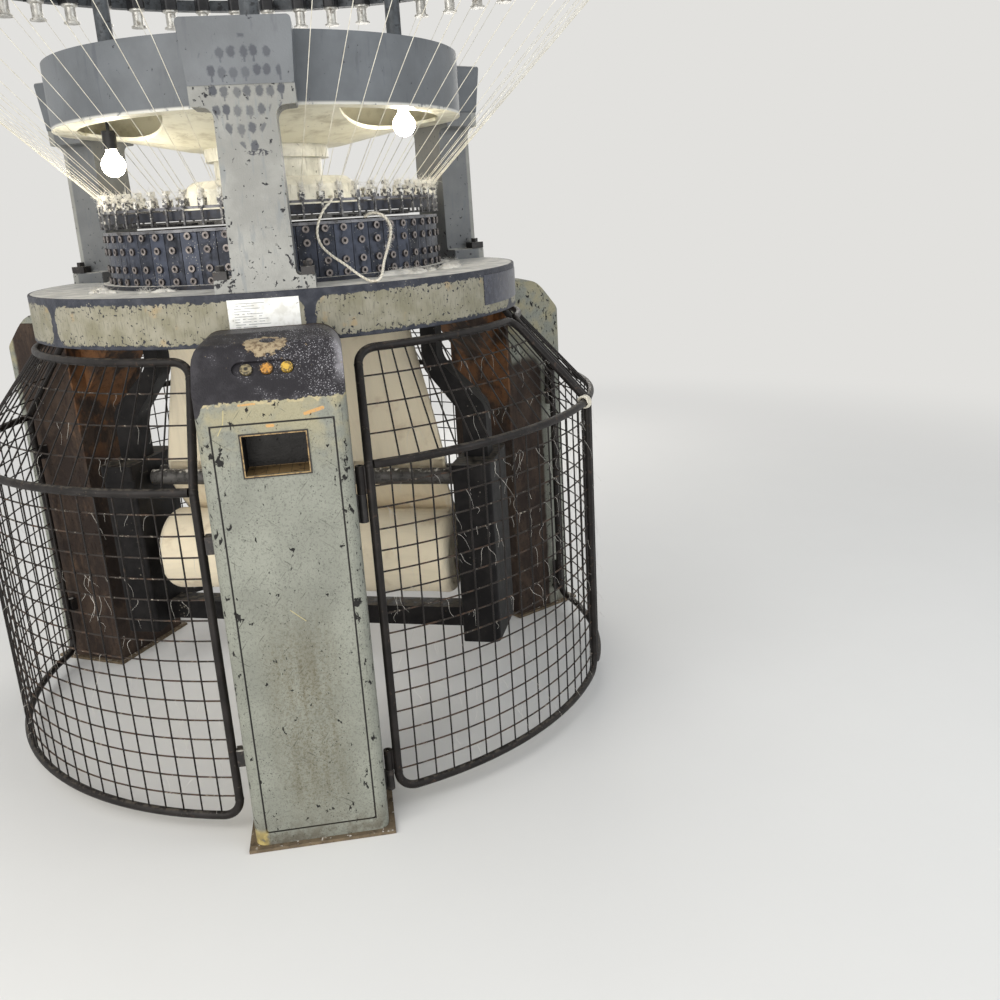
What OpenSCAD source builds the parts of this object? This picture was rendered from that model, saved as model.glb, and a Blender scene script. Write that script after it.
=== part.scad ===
// Circular knitting machine with three pedestals, a round bed, a crown and a wire safety guard.
// Millimetres. Z is the cylinder's axis, the floor is z = 0 and the front pedestal stands at -Y.

/* [Bed] */
// Radius of the round bed
bed_r = 665; // [655:1:672]
// Height of the bed's top face above the floor
bed_top = 1232; // [1226:1:1240]
// Height of the bed's rim
rim_h = 117; // [110:1:120]
// Wall of the bed casting
bed_wall = 18; // [12:1:22]
// Radius of the bed's middle opening
bed_bore_r = 456; // [454:1:462]

/* [Pedestals] */
// Width of a pedestal
leg_w = 307; // [290:1:316]
// Distance of a pedestal's outer face from the machine's axis
leg_out = 930; // [922:1:940]
// Distance of a pedestal's inner face from the machine's axis
leg_in = 690; // [684:1:700]
// Height of the upright outer face
leg_face_h = 1035; // [1020:1:1045]
// Height of the pedestal's cap
leg_top = 1157; // [1152:1:1166]
// Radius of the upright edges
leg_edge_r = 25; // [15:1:32]
// Radius of the cap's upper corners
cap_corner_r = 50; // [35:1:60]
// Distance of the tip of the arm under the bed from the axis
arm_tip = 500; // [492:1:512]
// Width of the arm under the bed
arm_w = 190; // [150:2:230]
// Thickness of the floor plate under a pedestal
foot_t = 8; // [5:1:12]

/* [Front panel] */
// Width of the access panel
panel_w = 246; // [230:1:252]
// Height of the access panel's lower edge
panel_z = 42; // [38:1:60]
// Height of the access panel
panel_h = 947; // [900:1:955]
// Thickness of the access panel
panel_t = 3; // [2:0.5:5]
// Gap round the access panel
panel_gap = 2.5; // [1.5:0.5:4]
// Width of the window
window_w = 130; // [110:1:150]
// Height of the window
window_h = 84; // [70:1:95]
// Height of the window's middle
window_z = 924; // [905:1:935]
// Depth of the pocket behind the window
pocket_d = 75; // [50:1:100]
// Width of the window's metal edging
bezel_w = 5; // [3:0.5:8]

/* [Push buttons] */
// Diameter of a push button
button_d = 25; // [20:0.5:28]
// Spacing of the push buttons
button_pitch = 41.5; // [38:0.5:44]
// Travel of a push button
button_travel = 4; // [2:0.5:5]
// Length of the recess that holds the buttons
slot_l = 130; // [124:1:140]
// Width of the recess that holds the buttons
slot_w = 36; // [32:1:42]

/* [Columns] */
// Width of a column's shaft
col_w = 136; // [120:1:140]
// Depth of a column's shaft
col_d = 110; // [90:1:120]
// Distance of a column's outer face from the axis
col_out = 652; // [645:1:656]
// Width of a column's foot and head block
col_block_w = 222; // [200:1:226]
// Height of a column's foot
col_foot_h = 30; // [22:1:36]
// Height of the underside of a column's head block
col_head_z = 1620; // [1610:1:1630]

/* [Cam box] */
// Radius of the cylinder cam box
drum_r = 452; // [446:1:455]
// Number of feeds round the machine
feeds = 60; // [48:6:66]
// Top of the base ring under the cam segments
base_ring_z = 1242; // [1240:1:1246]
// Top of the cam segments
segment_top = 1366; // [1360:1:1368]
// Gap between two cam segments
segment_gap = 1.4; // [0.8:0.2:2.4]
// Underside of the dial cam ring
dial_ring_z = 1394; // [1392:1:1398]
// Top of the dial cam ring
dial_ring_top = 1415; // [1411:1:1418]
// Radius of the dial cam ring
dial_ring_r = 444; // [440:1:448]

/* [Cylinder and dial] */
// Radius of the needle cylinder: a 30 inch machine
cylinder_r = 381; // [376:1:384]
// Wall of the needle cylinder
cylinder_wall = 26; // [20:1:32]
// Teeth of the main gear
gear_teeth = 160; // [158:2:162]
// Teeth of the driving pinion
pinion_teeth = 20; // [18:1:22]
// Module of the gears
gear_module = 6; // [5.95:0.05:6.05]
// Play between the teeth
backlash = 0.8; // [0.6:0.1:1.2]

/* [Crown] */
// Radius of the crown
crown_r = 538; // [532:1:545]
// Height of the crown's lower rim
crown_z = 1628; // [1622:1:1634]
// Top of the crown
crown_top = 1785; // [1775:1:1795]
// Sheet thickness of the crown
crown_t = 8; // [6:1:11]
// Radius of the hub disc under the crown
hub_disc_r = 217; // [205:1:225]
// Height of the hub disc's underside
hub_disc_z = 1573; // [1568:1:1578]

/* [Guards] */
// Radius of the guard's upright part
guard_r = 870; // [866:1:874]
// Radius of the guard's upper rail
guard_top_r = 670; // [665:1:675]
// Height of the guard's upper rail
guard_top_z = 1088; // [1080:1:1090]
// Height of the fixed guards' middle rail
fixed_mid_z = 838; // [830:1:845]
// Height of the fixed guards' lower rail
fixed_low_z = 44; // [38:1:50]
// Height of the gates' middle rail
gate_mid_z = 863; // [855:1:868]
// Height of the gates' lower rail
gate_low_z = 57; // [50:1:62]
// Radius of the guard's tube
tube_r = 10; // [8:0.5:11]
// Radius of the guard's wire
wire_r = 2; // [1.5:0.25:2.5]
// Spacing of the guard's wires
mesh = 49; // [44:1:56]
// Gap from a pedestal's side to the middle of a guard's end post
post_gap = 33.5; // [33:0.5:36.5]
// Gap from a pedestal's side to the gates' hinge line
hinge_gap = 12.5; // [12:0.5:13.5]
// Where the two gates meet, in degrees from the front pedestal
gate_meet = 67; // [60:1:70]

/* [Take-down] */
// Direction of the take-down's rollers in plan
takedown_angle = -20; // [-30:1:-10]
// Distance of a side box's inner face from the axis
box_in = 492; // [488:1:496]
// Width of a side box
box_w = 110; // [96:1:112]
// Depth of a side box
box_d = 250; // [220:1:260]
// Height of a side box's underside
box_z = 160; // [140:1:180]
// Height of a side box's top
box_top = 700; // [690:1:710]
// Radius of a draw roller
roller_r = 24; // [20:1:26]
// Height of the draw rollers
roller_z = 640; // [632:1:648]
// Radius of the roll of cloth
roll_r = 128; // [110:1:132]
// Height of the roll of cloth
roll_z = 400; // [380:1:410]
// Thickness of the knitted cloth
cloth_t = 3; // [2:0.2:3.2]

/* [Yarn ring] */
// Outer radius of the yarn ring
ring_r = 1165; // [1162:1:1180]
// Section of the yarn ring's tube
ring_tube = 35; // [30:1:36]
// Height of the yarn ring's underside
ring_z = 2120; // [2110:1:2130]
// Distance of the yarn wheels' circle inside the ring's outer face
wheel_inset = 70; // [68:1:73]
// Radius of a yarn wheel
wheel_r = 26; // [22:1:27]
// Radius of a yarn
yarn_r = 0.9; // [0.6:0.1:1.2]

/* [Hidden] */

LEG_ANGLES = [-90, 30, 150];
tiny = 0.1;
seat = 0.3;
shaft_fit = 0.05;
arc_steps = 6;
bed_low = bed_top - rim_h;
crown_head_z = crown_z + 32;
dial_shaft_r = 36;
shaft_r = 20;
gear_z = bed_low + 15;
gear_h = 25;
pinion_axis_r = gear_module * (gear_teeth + pinion_teeth) / 2;
feed_step = 360 / feeds;
post_side = leg_w / 2 + post_gap;
hinge_side = leg_w / 2 + hinge_gap;
wheel_circle_r = ring_r - wheel_inset;

// Vector helpers
function unit(v) = v / norm(v);
function polar(r, a) = [r * cos(a), r * sin(a)];
function point_at(r, a, z) = [r * cos(a), r * sin(a), z];

// A closed outline with rounded corners, from points [x, y, radius]
function corner_arc(a, b, c, r) =
    let (u = unit(a - b), v = unit(c - b), half = acos(u * v) / 2, o = b + unit(u + v) * r / sin(half),
        s = b + u * r / tan(half) - o, e = b + v * r / tan(half) - o, a0 = atan2(s.y, s.x),
        turn = (atan2(e.y, e.x) - a0 + 540) % 360 - 180)
    [for (i = [0:arc_steps]) o + polar(r, a0 + turn * i / arc_steps)];
function xy(p) = [p.x, p.y];
function rounded(path) = [for (i = [0:len(path) - 1])
    let (b = path[i], a = path[(i + len(path) - 1) % len(path)], c = path[(i + 1) % len(path)])
    each (b.z == 0 ? [xy(b)] : corner_arc(xy(a), xy(b), xy(c), b.z))];

// A sheet of the machine's side view (x outwards, z up), w wide and centred on its middle plane
module side_plate(w) rotate([90, 0, 0]) linear_extrude(w, center = true) children();

// A sheet of the front view (y across, z up), running outwards from r0 to r1
module front_plate(r0, r1) translate([r0, 0, 0]) rotate([90, 0, 90]) linear_extrude(r1 - r0) children();

module ring(r_in, r_out, z0, z1) rotate_extrude($fn = 180)
    translate([r_in, z0]) square([r_out - r_in, z1 - z0]);

module rod(a, b, r, sides = 24) {
    d = b - a;
    translate(a) rotate([0, acos(d.z / norm(d)), atan2(d.y, d.x)]) cylinder(h = norm(d), r = r, $fn = sides);
}

// A quarter or lesser bend at b of a tube that runs from a to c, with tangent length t
module elbow(a, b, c, t, r) {
    u = unit(a - b);
    v = unit(c - b);
    half = acos(u * v) / 2;
    bend = t * tan(half);
    o = b + unit(u + v) * bend / sin(half);
    x = unit(b + u * t - o);
    z = unit(cross(x, unit(b + v * t - o)));
    y = cross(z, x);
    multmatrix([[x.x, y.x, z.x, o.x], [x.y, y.y, z.y, o.y], [x.z, y.z, z.z, o.z], [0, 0, 0, 1]])
        rotate_extrude(angle = 180 - 2 * half, $fn = 48) translate([bend, 0]) circle(r = r, $fn = 24);
}

// A bead of weld round a tube's joint
bead = 0.7;
joint_gap = 0.2;
wire_gap = 0.7;
module weld(p, r) translate(p) sphere(r = r + bead, $fn = 32);

// A tube along points, with a tangent length for the bend at each inner point, 0 for a mitred joint.
// Straight and bent lengths end a joint_gap apart, inside the weld beads that join them.
module bent_tube(points, bends, r) {
    last = len(points) - 1;
    t = [0, each bends, 0];
    for (i = [0:last - 1]) {
        d = points[i + 1] - points[i];
        start = points[i] + unit(d) * t[i];
        end = points[i + 1] - unit(d) * t[i + 1];
        if (norm(end - start) > 1) {
            rod(start + unit(d) * joint_gap, end - unit(d) * joint_gap, r);
            if (i > 0) weld(start, r);
            if (i < last - 1 && t[i + 1] > 0) weld(end, r);
        }
    }
    for (i = [1:last - 1]) if (t[i] > 0) elbow(points[i - 1], points[i], points[i + 1], t[i], r);
}

// Bed
lip_h = 44;
module bed_ring() color([0.20, 0.24, 0.28]) rotate_extrude($fn = 180)
    polygon(rounded([[bed_bore_r, bed_top, 0], [bed_r, bed_top, 3], [bed_r, bed_low, 3],
        [bed_r - bed_wall, bed_low, 0], [bed_r - bed_wall, bed_top - bed_wall, 0],
        [bed_bore_r + bed_wall, bed_top - bed_wall, 0], [bed_bore_r + bed_wall, bed_top - lip_h, 0],
        [bed_bore_r, bed_top - lip_h, 0]]));

// Oil pan under the main gear, with a window for the pinion shaft
pan_t = 4;
module gear_cover() color([0.16, 0.18, 0.2]) difference() {
    ring(bed_bore_r, bed_r - bed_wall, bed_low, bed_low + pan_t);
    translate(concat(polar(pinion_axis_r, LEG_ANGLES[2]), bed_low - 1))
        cylinder(h = pan_t + 2, r = shaft_r + 1);
}

// Bearing between the bed's lip and the main gear
module main_bearing() color([0.55, 0.55, 0.56])
    ring(bed_bore_r + 2, bed_bore_r + bed_wall - 2, gear_z + gear_h + seat, bed_top - lip_h);

// Pedestals
cap_slope_r = 835;
cap_slope_z = 1140;
cap_back_r = 675;
arm_h = 30;
gusset_z = 900;
shaft_drop = arm_h - 6;
cap_outline = rounded([[leg_in, foot_t, 0], [leg_out, foot_t, 0], [leg_out, leg_face_h, 30],
    [cap_slope_r, cap_slope_z, 45], [cap_slope_r - 60, leg_top, 20], [cap_back_r, leg_top, 8],
    [cap_back_r, bed_low, 0], [leg_in, bed_low, 0]]);
gusset_outline = [[leg_in + 1, bed_low], [arm_tip, bed_low], [arm_tip, bed_low - arm_h],
    [arm_tip + 40, bed_low - arm_h], [leg_in + 1, gusset_z]];
leg_front_view = rounded([[-leg_w / 2, 0, 0], [leg_w / 2, 0, 0], [leg_w / 2, leg_top, cap_corner_r],
    [-leg_w / 2, leg_top, cap_corner_r]]);
leg_plan = rounded([[cap_back_r, -leg_w / 2, 6], [leg_out, -leg_w / 2, leg_edge_r],
    [leg_out, leg_w / 2, leg_edge_r], [cap_back_r, leg_w / 2, 6]]);

module pedestal() {
    intersection() {
        side_plate(leg_w + 2) polygon(cap_outline);
        front_plate(cap_back_r - 1, leg_out + 1) polygon(leg_front_view);
        translate([0, 0, -1]) linear_extrude(leg_top + 2) polygon(leg_plan);
    }
    side_plate(arm_w) polygon(gusset_outline);
}

// The control slope, as a frame with x to the right along the slope, y up the slope and z outwards
slope_lean = atan2(leg_out - cap_slope_r, cap_slope_z - leg_face_h);
slot_r = 876;
slot_shift = -8;
slot_depth = 6;
module on_slope() translate([slot_r, 0, leg_face_h + (leg_out - slot_r) / tan(slope_lean)])
    rotate([0, -slope_lean, 0]) rotate([90, 0, 90]) children();

button_r = button_d / 2;
button_gap = 0.5;
button_base = -20;
module button_bore(i) translate([slot_shift + 6 + i * button_pitch, 0, button_base])
    cylinder(h = 40, r = button_r + button_gap, $fn = 48);

module slot_shape(l, w) polygon(rounded([[-l / 2, -w / 2, w / 2 - 0.01], [l / 2, -w / 2, w / 2 - 0.01],
    [l / 2, w / 2, w / 2 - 0.01], [-l / 2, w / 2, w / 2 - 0.01]]));

module leg_front() color([0.64, 0.66, 0.62]) rotate([0, 0, LEG_ANGLES[0]]) difference() {
    pedestal();
    front_plate(leg_out - panel_t, leg_out + 1) polygon(rounded([
        [-panel_w / 2 - panel_gap, panel_z - panel_gap, 8], [panel_w / 2 + panel_gap, panel_z - panel_gap, 8],
        [panel_w / 2 + panel_gap, panel_z + panel_h + panel_gap, 8],
        [-panel_w / 2 - panel_gap, panel_z + panel_h + panel_gap, 8]]));
    translate([leg_out - panel_t - pocket_d, -window_w / 2, window_z - window_h / 2])
        cube([pocket_d + 1, window_w, window_h]);
    on_slope() translate([slot_shift, 0, -slot_depth]) linear_extrude(40) slot_shape(slot_l, slot_w);
    on_slope() for (i = [-1:1]) button_bore(i);
}
module rear_leg(i) color([0.60, 0.62, 0.58]) rotate([0, 0, LEG_ANGLES[i]]) difference() {
    pedestal();
    if (i == 2) translate([pinion_axis_r, 0, bed_low - shaft_drop - seat])
        cylinder(h = shaft_drop + 1, r = shaft_r + shaft_fit, $fn = 64);
}
module leg_rear_right() rear_leg(1);
module leg_rear_left() rear_leg(2);

foot_margin = 14;
module foot_plates() color([0.45, 0.42, 0.36]) for (a = LEG_ANGLES) rotate([0, 0, a])
    translate([leg_in - foot_margin, -leg_w / 2 - foot_margin, 0])
        cube([leg_out - leg_in + 2 * foot_margin, leg_w + 2 * foot_margin, foot_t]);

module access_panel() color([0.66, 0.68, 0.64]) rotate([0, 0, LEG_ANGLES[0]]) difference() {
    front_plate(leg_out - panel_t, leg_out) polygon(rounded([[-panel_w / 2, panel_z, 6],
        [panel_w / 2, panel_z, 6], [panel_w / 2, panel_z + panel_h, 6],
        [-panel_w / 2, panel_z + panel_h, 6]]));
    translate([leg_out - panel_t - 1, -window_w / 2, window_z - window_h / 2])
        cube([panel_t + 2, window_w, window_h]);
}

bezel_t = 2;
module window_bezel() color([0.62, 0.47, 0.2]) rotate([0, 0, LEG_ANGLES[0]])
    front_plate(leg_out, leg_out + bezel_t) difference() {
        translate([-window_w / 2 - bezel_w, window_z - window_h / 2 - bezel_w])
            square([window_w + 2 * bezel_w, window_h + 2 * bezel_w]);
        translate([-window_w / 2, window_z - window_h / 2]) square([window_w, window_h]);
    }

// Push buttons, index -1, 0 and 1 from left to right
button_proud = 1;
module push_button(i) rotate([0, 0, LEG_ANGLES[0]]) on_slope()
    translate([slot_shift + 6 + i * button_pitch, 0, 0]) rotate_extrude($fn = 48)
        polygon([[0, button_base + button_travel + 1], [button_r, button_base + button_travel + 1],
            [button_r, button_proud - 1.5], [button_r - 1.5, button_proud], [0, button_proud]]);
module button_left() color([0.78, 0.74, 0.62]) push_button(-1);
module button_middle() color([0.85, 0.55, 0.12]) push_button(0);
module button_right() color([0.86, 0.66, 0.14]) push_button(1);

// Columns between the bed and the crown
col_taper = 3;
column_front_view = rounded([[-col_block_w / 2, bed_top, 0], [col_block_w / 2, bed_top, 0],
    [col_block_w / 2, bed_top + col_foot_h, 6], [col_w / 2 + 2, bed_top + col_foot_h, 10],
    [col_w / 2 - col_taper, col_head_z - 4, 22], [col_block_w / 2, col_head_z, 4],
    [col_block_w / 2, crown_head_z, 0], [-col_block_w / 2, crown_head_z, 0],
    [-col_block_w / 2, col_head_z, 4], [-col_w / 2 + col_taper, col_head_z - 4, 22],
    [-col_w / 2 - 2, bed_top + col_foot_h, 10], [-col_block_w / 2, bed_top + col_foot_h, 6]]);
module column(a) color([0.62, 0.65, 0.66]) rotate([0, 0, a])
    front_plate(col_out - col_d, col_out) polygon(column_front_view);
module column_front() column(LEG_ANGLES[0]);
module column_rear_right() column(LEG_ANGLES[1]);
module column_rear_left() column(LEG_ANGLES[2]);

// Clamp blocks with their hexagon bolts, two beside each column
clamp_l = 44;
clamp_w = 30;
clamp_h = 18;
bolt_head_r = 11;
bolt_head_h = 12;
module column_bolts() color([0.16, 0.17, 0.2]) for (a = LEG_ANGLES, s = [-1, 1]) rotate([0, 0, a])
    translate([col_out - clamp_l, s * (col_block_w / 2 - clamp_w / 2) - clamp_w / 2, bed_top + col_foot_h]) {
        cube([clamp_l, clamp_w, clamp_h]);
        translate([clamp_l / 2, clamp_w / 2, clamp_h]) cylinder(h = bolt_head_h, r = bolt_head_r, $fn = 6);
    }

// Cam box of the cylinder
ring_in = cylinder_r + 11;
base_lip = 23;
mark_w = 1.6;
mark_d = 1.5;
module cam_base_ring() color([0.25, 0.26, 0.29]) difference() {
    ring(ring_in, drum_r + base_lip, bed_top, base_ring_z);
    for (i = [0:feeds - 1]) rotate([0, 0, (i + 0.5) * feed_step])
        translate([drum_r + 3, -mark_w / 2, base_ring_z - mark_d]) cube([base_lip, mark_w, mark_d + 1]);
}

segment_chamfer = 1.5;
module cam_segment() {
    gap_angle = segment_gap / drum_r * 180 / PI;
    rotate([0, 0, -(feed_step - gap_angle) / 2]) rotate_extrude(angle = feed_step - gap_angle, $fn = 180)
        polygon([[ring_in, base_ring_z], [drum_r, base_ring_z], [drum_r, segment_top - segment_chamfer],
            [drum_r - segment_chamfer, segment_top], [ring_in, segment_top]]);
}
module cam_segments() color([0.14, 0.16, 0.2])
    for (i = [0:feeds - 1]) rotate([0, 0, i * feed_step]) cam_segment();

cam_bolt_r = 8.7;
bolt_rows = [9, 39, 83, segment_top - base_ring_z - cam_bolt_r - seat];
cam_bolt_h = 6;
socket_r = 4.6;
module cam_bolt() rotate([0, 90, 0]) difference() {
    cylinder(h = cam_bolt_h, r = cam_bolt_r, $fn = 32);
    translate([0, 0, cam_bolt_h - 4]) cylinder(h = 5, r = socket_r, $fn = 6);
}
module cam_bolts() color([0.6, 0.6, 0.6]) for (i = [0:feeds - 1], z = bolt_rows)
    rotate([0, 0, i * feed_step]) translate([drum_r + tiny, 0, base_ring_z + z]) cam_bolt();

cap_ring_t = 7;
module cam_cap_ring() color([0.4, 0.42, 0.45])
    ring(ring_in, drum_r + 3, segment_top, segment_top + cap_ring_t);

module dial_cam_ring() color([0.2, 0.22, 0.25])
    ring(cover_r - 30, dial_ring_r, dial_ring_z, dial_ring_top);

// Ring that carries the feeders, on spacers that stand on the dial cam ring
feeder_ring_t = 6;
spacer_h = 4;
feeder_ring_z = dial_ring_top + spacer_h;
module feeder_ring() color([0.5, 0.52, 0.52]) {
    ring(drum_r - 26, drum_r, feeder_ring_z, feeder_ring_z + feeder_ring_t);
    for (i = [0:11]) rotate([0, 0, i * 30 + 3])
        translate([dial_ring_r - 9, 0, dial_ring_top]) cylinder(h = spacer_h + 1, r = 6, $fn = 24);
}

// One feeder: clamp block, stem, eyelet head and the finger that leads the yarn to the needles
feeder_top = feeder_ring_z + feeder_ring_t;
module yarn_feeder() {
    translate([drum_r - 16, -7, feeder_top]) cube([24, 14, 18]);
    translate([drum_r - 4, 0, feeder_top + 17]) cylinder(h = 16, r = 4, $fn = 24);
    translate([drum_r - 12, -5, feeder_top + 29]) cube([17, 10, 9]);
    translate([drum_r + 3, -2.5, dial_ring_z - 13]) cube([5, 5, feeder_top + 4 - dial_ring_z + 13]);
    translate([cylinder_r + 22, -2.5, dial_ring_z - 13]) cube([drum_r - cylinder_r - 18, 5, 5]);
}
module yarn_feeders() color([0.7, 0.7, 0.68])
    for (i = [0:feeds - 1]) rotate([0, 0, i * feed_step]) yarn_feeder();

// Dial cover, hub and crown
cover_r = 240;
cover_top_r = 210;
cover_z = 1466;
cover_top = 1489;
neck_r = 146;
hub_r = 167;
hub_z = 1540;
shaft_bore = dial_shaft_r + seat;
module dial_cover() color([0.66, 0.69, 0.68]) rotate_extrude($fn = 120)
    polygon(rounded([[shaft_bore, cover_top - 12, 0], [cover_r - 10, cover_top - 38, 0],
        [cover_r - 10, dial_ring_top, 0], [cover_r, dial_ring_top, 0], [cover_r, cover_z, 6],
        [cover_top_r, cover_top, 6], [shaft_bore, cover_top, 0]]));

module crown_hub() color([0.64, 0.67, 0.66]) rotate_extrude($fn = 120)
    polygon([[shaft_bore, cover_top], [neck_r, cover_top], [neck_r, hub_z], [hub_r, hub_z],
        [hub_r, hub_disc_z], [shaft_bore, hub_disc_z]]);

rim_w = 58;
lens_reach = 330;
lens_half = 35;
head_in = 526;
head_w = 220;
head_top_w = 236;
head_top_z = crown_top + 5;
module crown_shell() rotate_extrude($fn = 180)
    polygon([[shaft_bore, hub_disc_z], [hub_disc_r, hub_disc_z], [crown_r - rim_w, crown_z],
        [crown_r, crown_z], [crown_r, crown_top], [shaft_bore, crown_top],
        [shaft_bore, crown_top - crown_t], [crown_r - crown_t, crown_top - crown_t],
        [crown_r - crown_t, crown_z + crown_t], [crown_r - rim_w, crown_z + crown_t],
        [hub_disc_r, hub_disc_z + crown_t + 2], [shaft_bore, hub_disc_z + crown_t + 2]]);

// The lens lies between the rim and a circle through both ends of its outer arc and the lens_reach point
lens_r = crown_r - rim_w - 2;
module crown_lens() {
    e = polar(lens_r, lens_half);
    c = (e.x * e.x + e.y * e.y - lens_reach * lens_reach) / (2 * (e.x - lens_reach));
    translate([0, 0, hub_disc_z - 1]) intersection() {
        cylinder(h = crown_z - hub_disc_z + 40, r = lens_r, $fn = 180);
        translate([c, 0, 0]) cylinder(h = crown_z - hub_disc_z + 40, r = c - lens_reach, $fn = 180);
    }
}
module crown_head() intersection() {
    side_plate(head_top_w + 20) polygon([[head_in, crown_head_z], [col_out + 3, crown_head_z],
        [col_out + 16, head_top_z], [head_in, head_top_z]]);
    front_plate(head_in - 1, col_out + 40) polygon(rounded([[-head_w / 2, crown_head_z, 4],
        [head_w / 2, crown_head_z, 4], [head_top_w / 2, head_top_z, 10], [-head_top_w / 2, head_top_z, 10]]));
}
module crown() color([0.5, 0.56, 0.6]) {
    difference() {
        crown_shell();
        for (a = LEG_ANGLES) rotate([0, 0, a + 60]) crown_lens();
    }
    for (a = LEG_ANGLES) rotate([0, 0, a]) crown_head();
}

// Lamps under the crown's openings, [angle, radius, height of the bulb's centre]
LAMPS = [[-150, 425, 1536], [-30, 425, 1600], [90, 425, 1570]];
bulb_r = 29;
holder_r = 17;
holder_h = 44;
module lamp_holder(z) {
    translate([0, 0, z + bulb_r + 8]) cylinder(h = holder_h, r = holder_r, $fn = 48);
    stem_z = z + bulb_r + 8 + holder_h - 1;
    translate([0, 0, stem_z]) cylinder(h = crown_top - crown_t - stem_z, r = 4, $fn = 24);
}
module lamp_holders() color([0.12, 0.12, 0.12])
    for (l = LAMPS) translate(concat(polar(l[1], l[0]), 0)) lamp_holder(l[2]);
module lamp_bulbs() color([0.95, 0.95, 0.9])
    for (l = LAMPS) translate(concat(polar(l[1], l[0]), l[2])) rotate_extrude($fn = 48)
        polygon(concat([for (i = [0:14]) polar(bulb_r, -90 + i * 10)],
            [[13, bulb_r + 3], [13, bulb_r + 8], [0, bulb_r + 8]]));

// Wire guards. A guard's end post stands beside a pedestal or at the gates' meeting line.
// An end is [angle of its middle plane, signed distance from that plane, +1 or -1 towards the panel].
bend = 45;
function corner_angle(e, r) = e[0] + asin(e[1] / norm([r, bend]));
function rail_angle(e, r) = corner_angle(e, r) + e[2] * atan(bend / r);
function corner(e, r, z) = point_at(norm([r, bend]), corner_angle(e, r), z);
function end_points(e, low, mid) = [point_at(guard_r, rail_angle(e, guard_r), low), corner(e, guard_r, low),
    corner(e, guard_r, mid), corner(e, guard_top_r, guard_top_z),
    point_at(guard_top_r, rail_angle(e, guard_top_r), guard_top_z)];

module rail(r, z, a0, a1, tube) rotate([0, 0, a0]) rotate_extrude(angle = a1 - a0, $fn = 180)
    translate([r, z]) circle(r = tube, $fn = 24);

module guard_frame(from, to, low, mid) {
    for (e = [from, to]) bent_tube(end_points(e, low, mid), [bend, 0, bend], tube_r);
    joint = asin(joint_gap / guard_r);
    at_post = asin((tube_r + bead + joint_gap) / guard_r);
    rail(guard_r, low, rail_angle(from, guard_r) + joint, rail_angle(to, guard_r) - joint, tube_r);
    rail(guard_r, mid, corner_angle(from, guard_r) + at_post, corner_angle(to, guard_r) - at_post, tube_r);
    rail(guard_top_r, guard_top_z, rail_angle(from, guard_top_r) + joint,
        rail_angle(to, guard_top_r) - joint, tube_r);
}

// Upright wires below the middle rail, and leaning wires above it
module guard_uprights(from, to, low, mid) {
    a0 = corner_angle(from, guard_r);
    a1 = corner_angle(to, guard_r);
    b0 = corner_angle(from, guard_top_r);
    b1 = corner_angle(to, guard_top_r);
    n = round((a1 - a0) * PI / 180 * guard_r / mesh);
    for (i = [1:n - 1]) {
        translate(point_at(guard_r, a0 + (a1 - a0) * i / n, low + tube_r + joint_gap))
            cylinder(h = mid - low - 2 * (tube_r + joint_gap), r = wire_r, $fn = 16);
        foot = point_at(guard_r, a0 + (a1 - a0) * (i - 0.5) / n, mid);
        head = point_at(guard_top_r, b0 + (b1 - b0) * (i - 0.5) / n, guard_top_z);
        ends = unit(head - foot) * (tube_r + wire_gap);
        if (i > 1) rod(foot + ends, head - ends, wire_r, 16);
    }
}

// Hoops lie just inside the uprights and end at the posts
hoop_in = 2 * wire_r + tiny;
cone_hoops = 3;
cone_hoop_in = hoop_in + 1.2;
cone_hoop_drop = 1;
module guard_hoop_set(from, to, low, mid) {
    clear = asin(tube_r / guard_r);
    n = round((mid - low) / mesh);
    for (i = [1:n - 1]) rail(guard_r - hoop_in, low + (mid - low) * i / n, corner_angle(from, guard_r) + clear,
        corner_angle(to, guard_r) - clear, wire_r);
    for (i = [1:cone_hoops]) {
        t = i / (cone_hoops + 1);
        p = corner(from, guard_r, mid) * (1 - t) + corner(from, guard_top_r, guard_top_z) * t;
        q = corner(to, guard_r, mid) * (1 - t) + corner(to, guard_top_r, guard_top_z) * t;
        r = guard_r * (1 - t) + guard_top_r * t - cone_hoop_in;
        start = atan2(p.y, p.x);
        inset = asin((tube_r + bead) / r);
        rail(r, p.z - cone_hoop_drop, start + inset, start + angle_to(p, q) - inset, wire_r);
    }
}
function angle_to(p, q) = (atan2(q.y, q.x) - atan2(p.y, p.x) + 360) % 360;

LEFT_FROM = [150, post_side, 1];
LEFT_TO = [270, -post_side, -1];
REAR_FROM = [30, post_side, 1];
REAR_TO = [150, -post_side, -1];
meet_half = tube_r + 1;
FRONT_FROM = [-90, post_side, 1];
FRONT_TO = [-90 + gate_meet, -meet_half, -1];
SIDE_FROM = [-90 + gate_meet, meet_half, 1];
SIDE_TO = [30, -post_side, -1];

module guard_left() color([0.12, 0.11, 0.1]) {
    guard_frame(LEFT_FROM, LEFT_TO, fixed_low_z, fixed_mid_z);
    guard_uprights(LEFT_FROM, LEFT_TO, fixed_low_z, fixed_mid_z);
}
module guard_rear() color([0.12, 0.11, 0.1]) {
    guard_frame(REAR_FROM, REAR_TO, fixed_low_z, fixed_mid_z);
    guard_uprights(REAR_FROM, REAR_TO, fixed_low_z, fixed_mid_z);
}
module guard_hoops() color([0.3, 0.26, 0.22]) {
    guard_hoop_set(LEFT_FROM, LEFT_TO, fixed_low_z, fixed_mid_z);
    guard_hoop_set(REAR_FROM, REAR_TO, fixed_low_z, fixed_mid_z);
}

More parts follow.
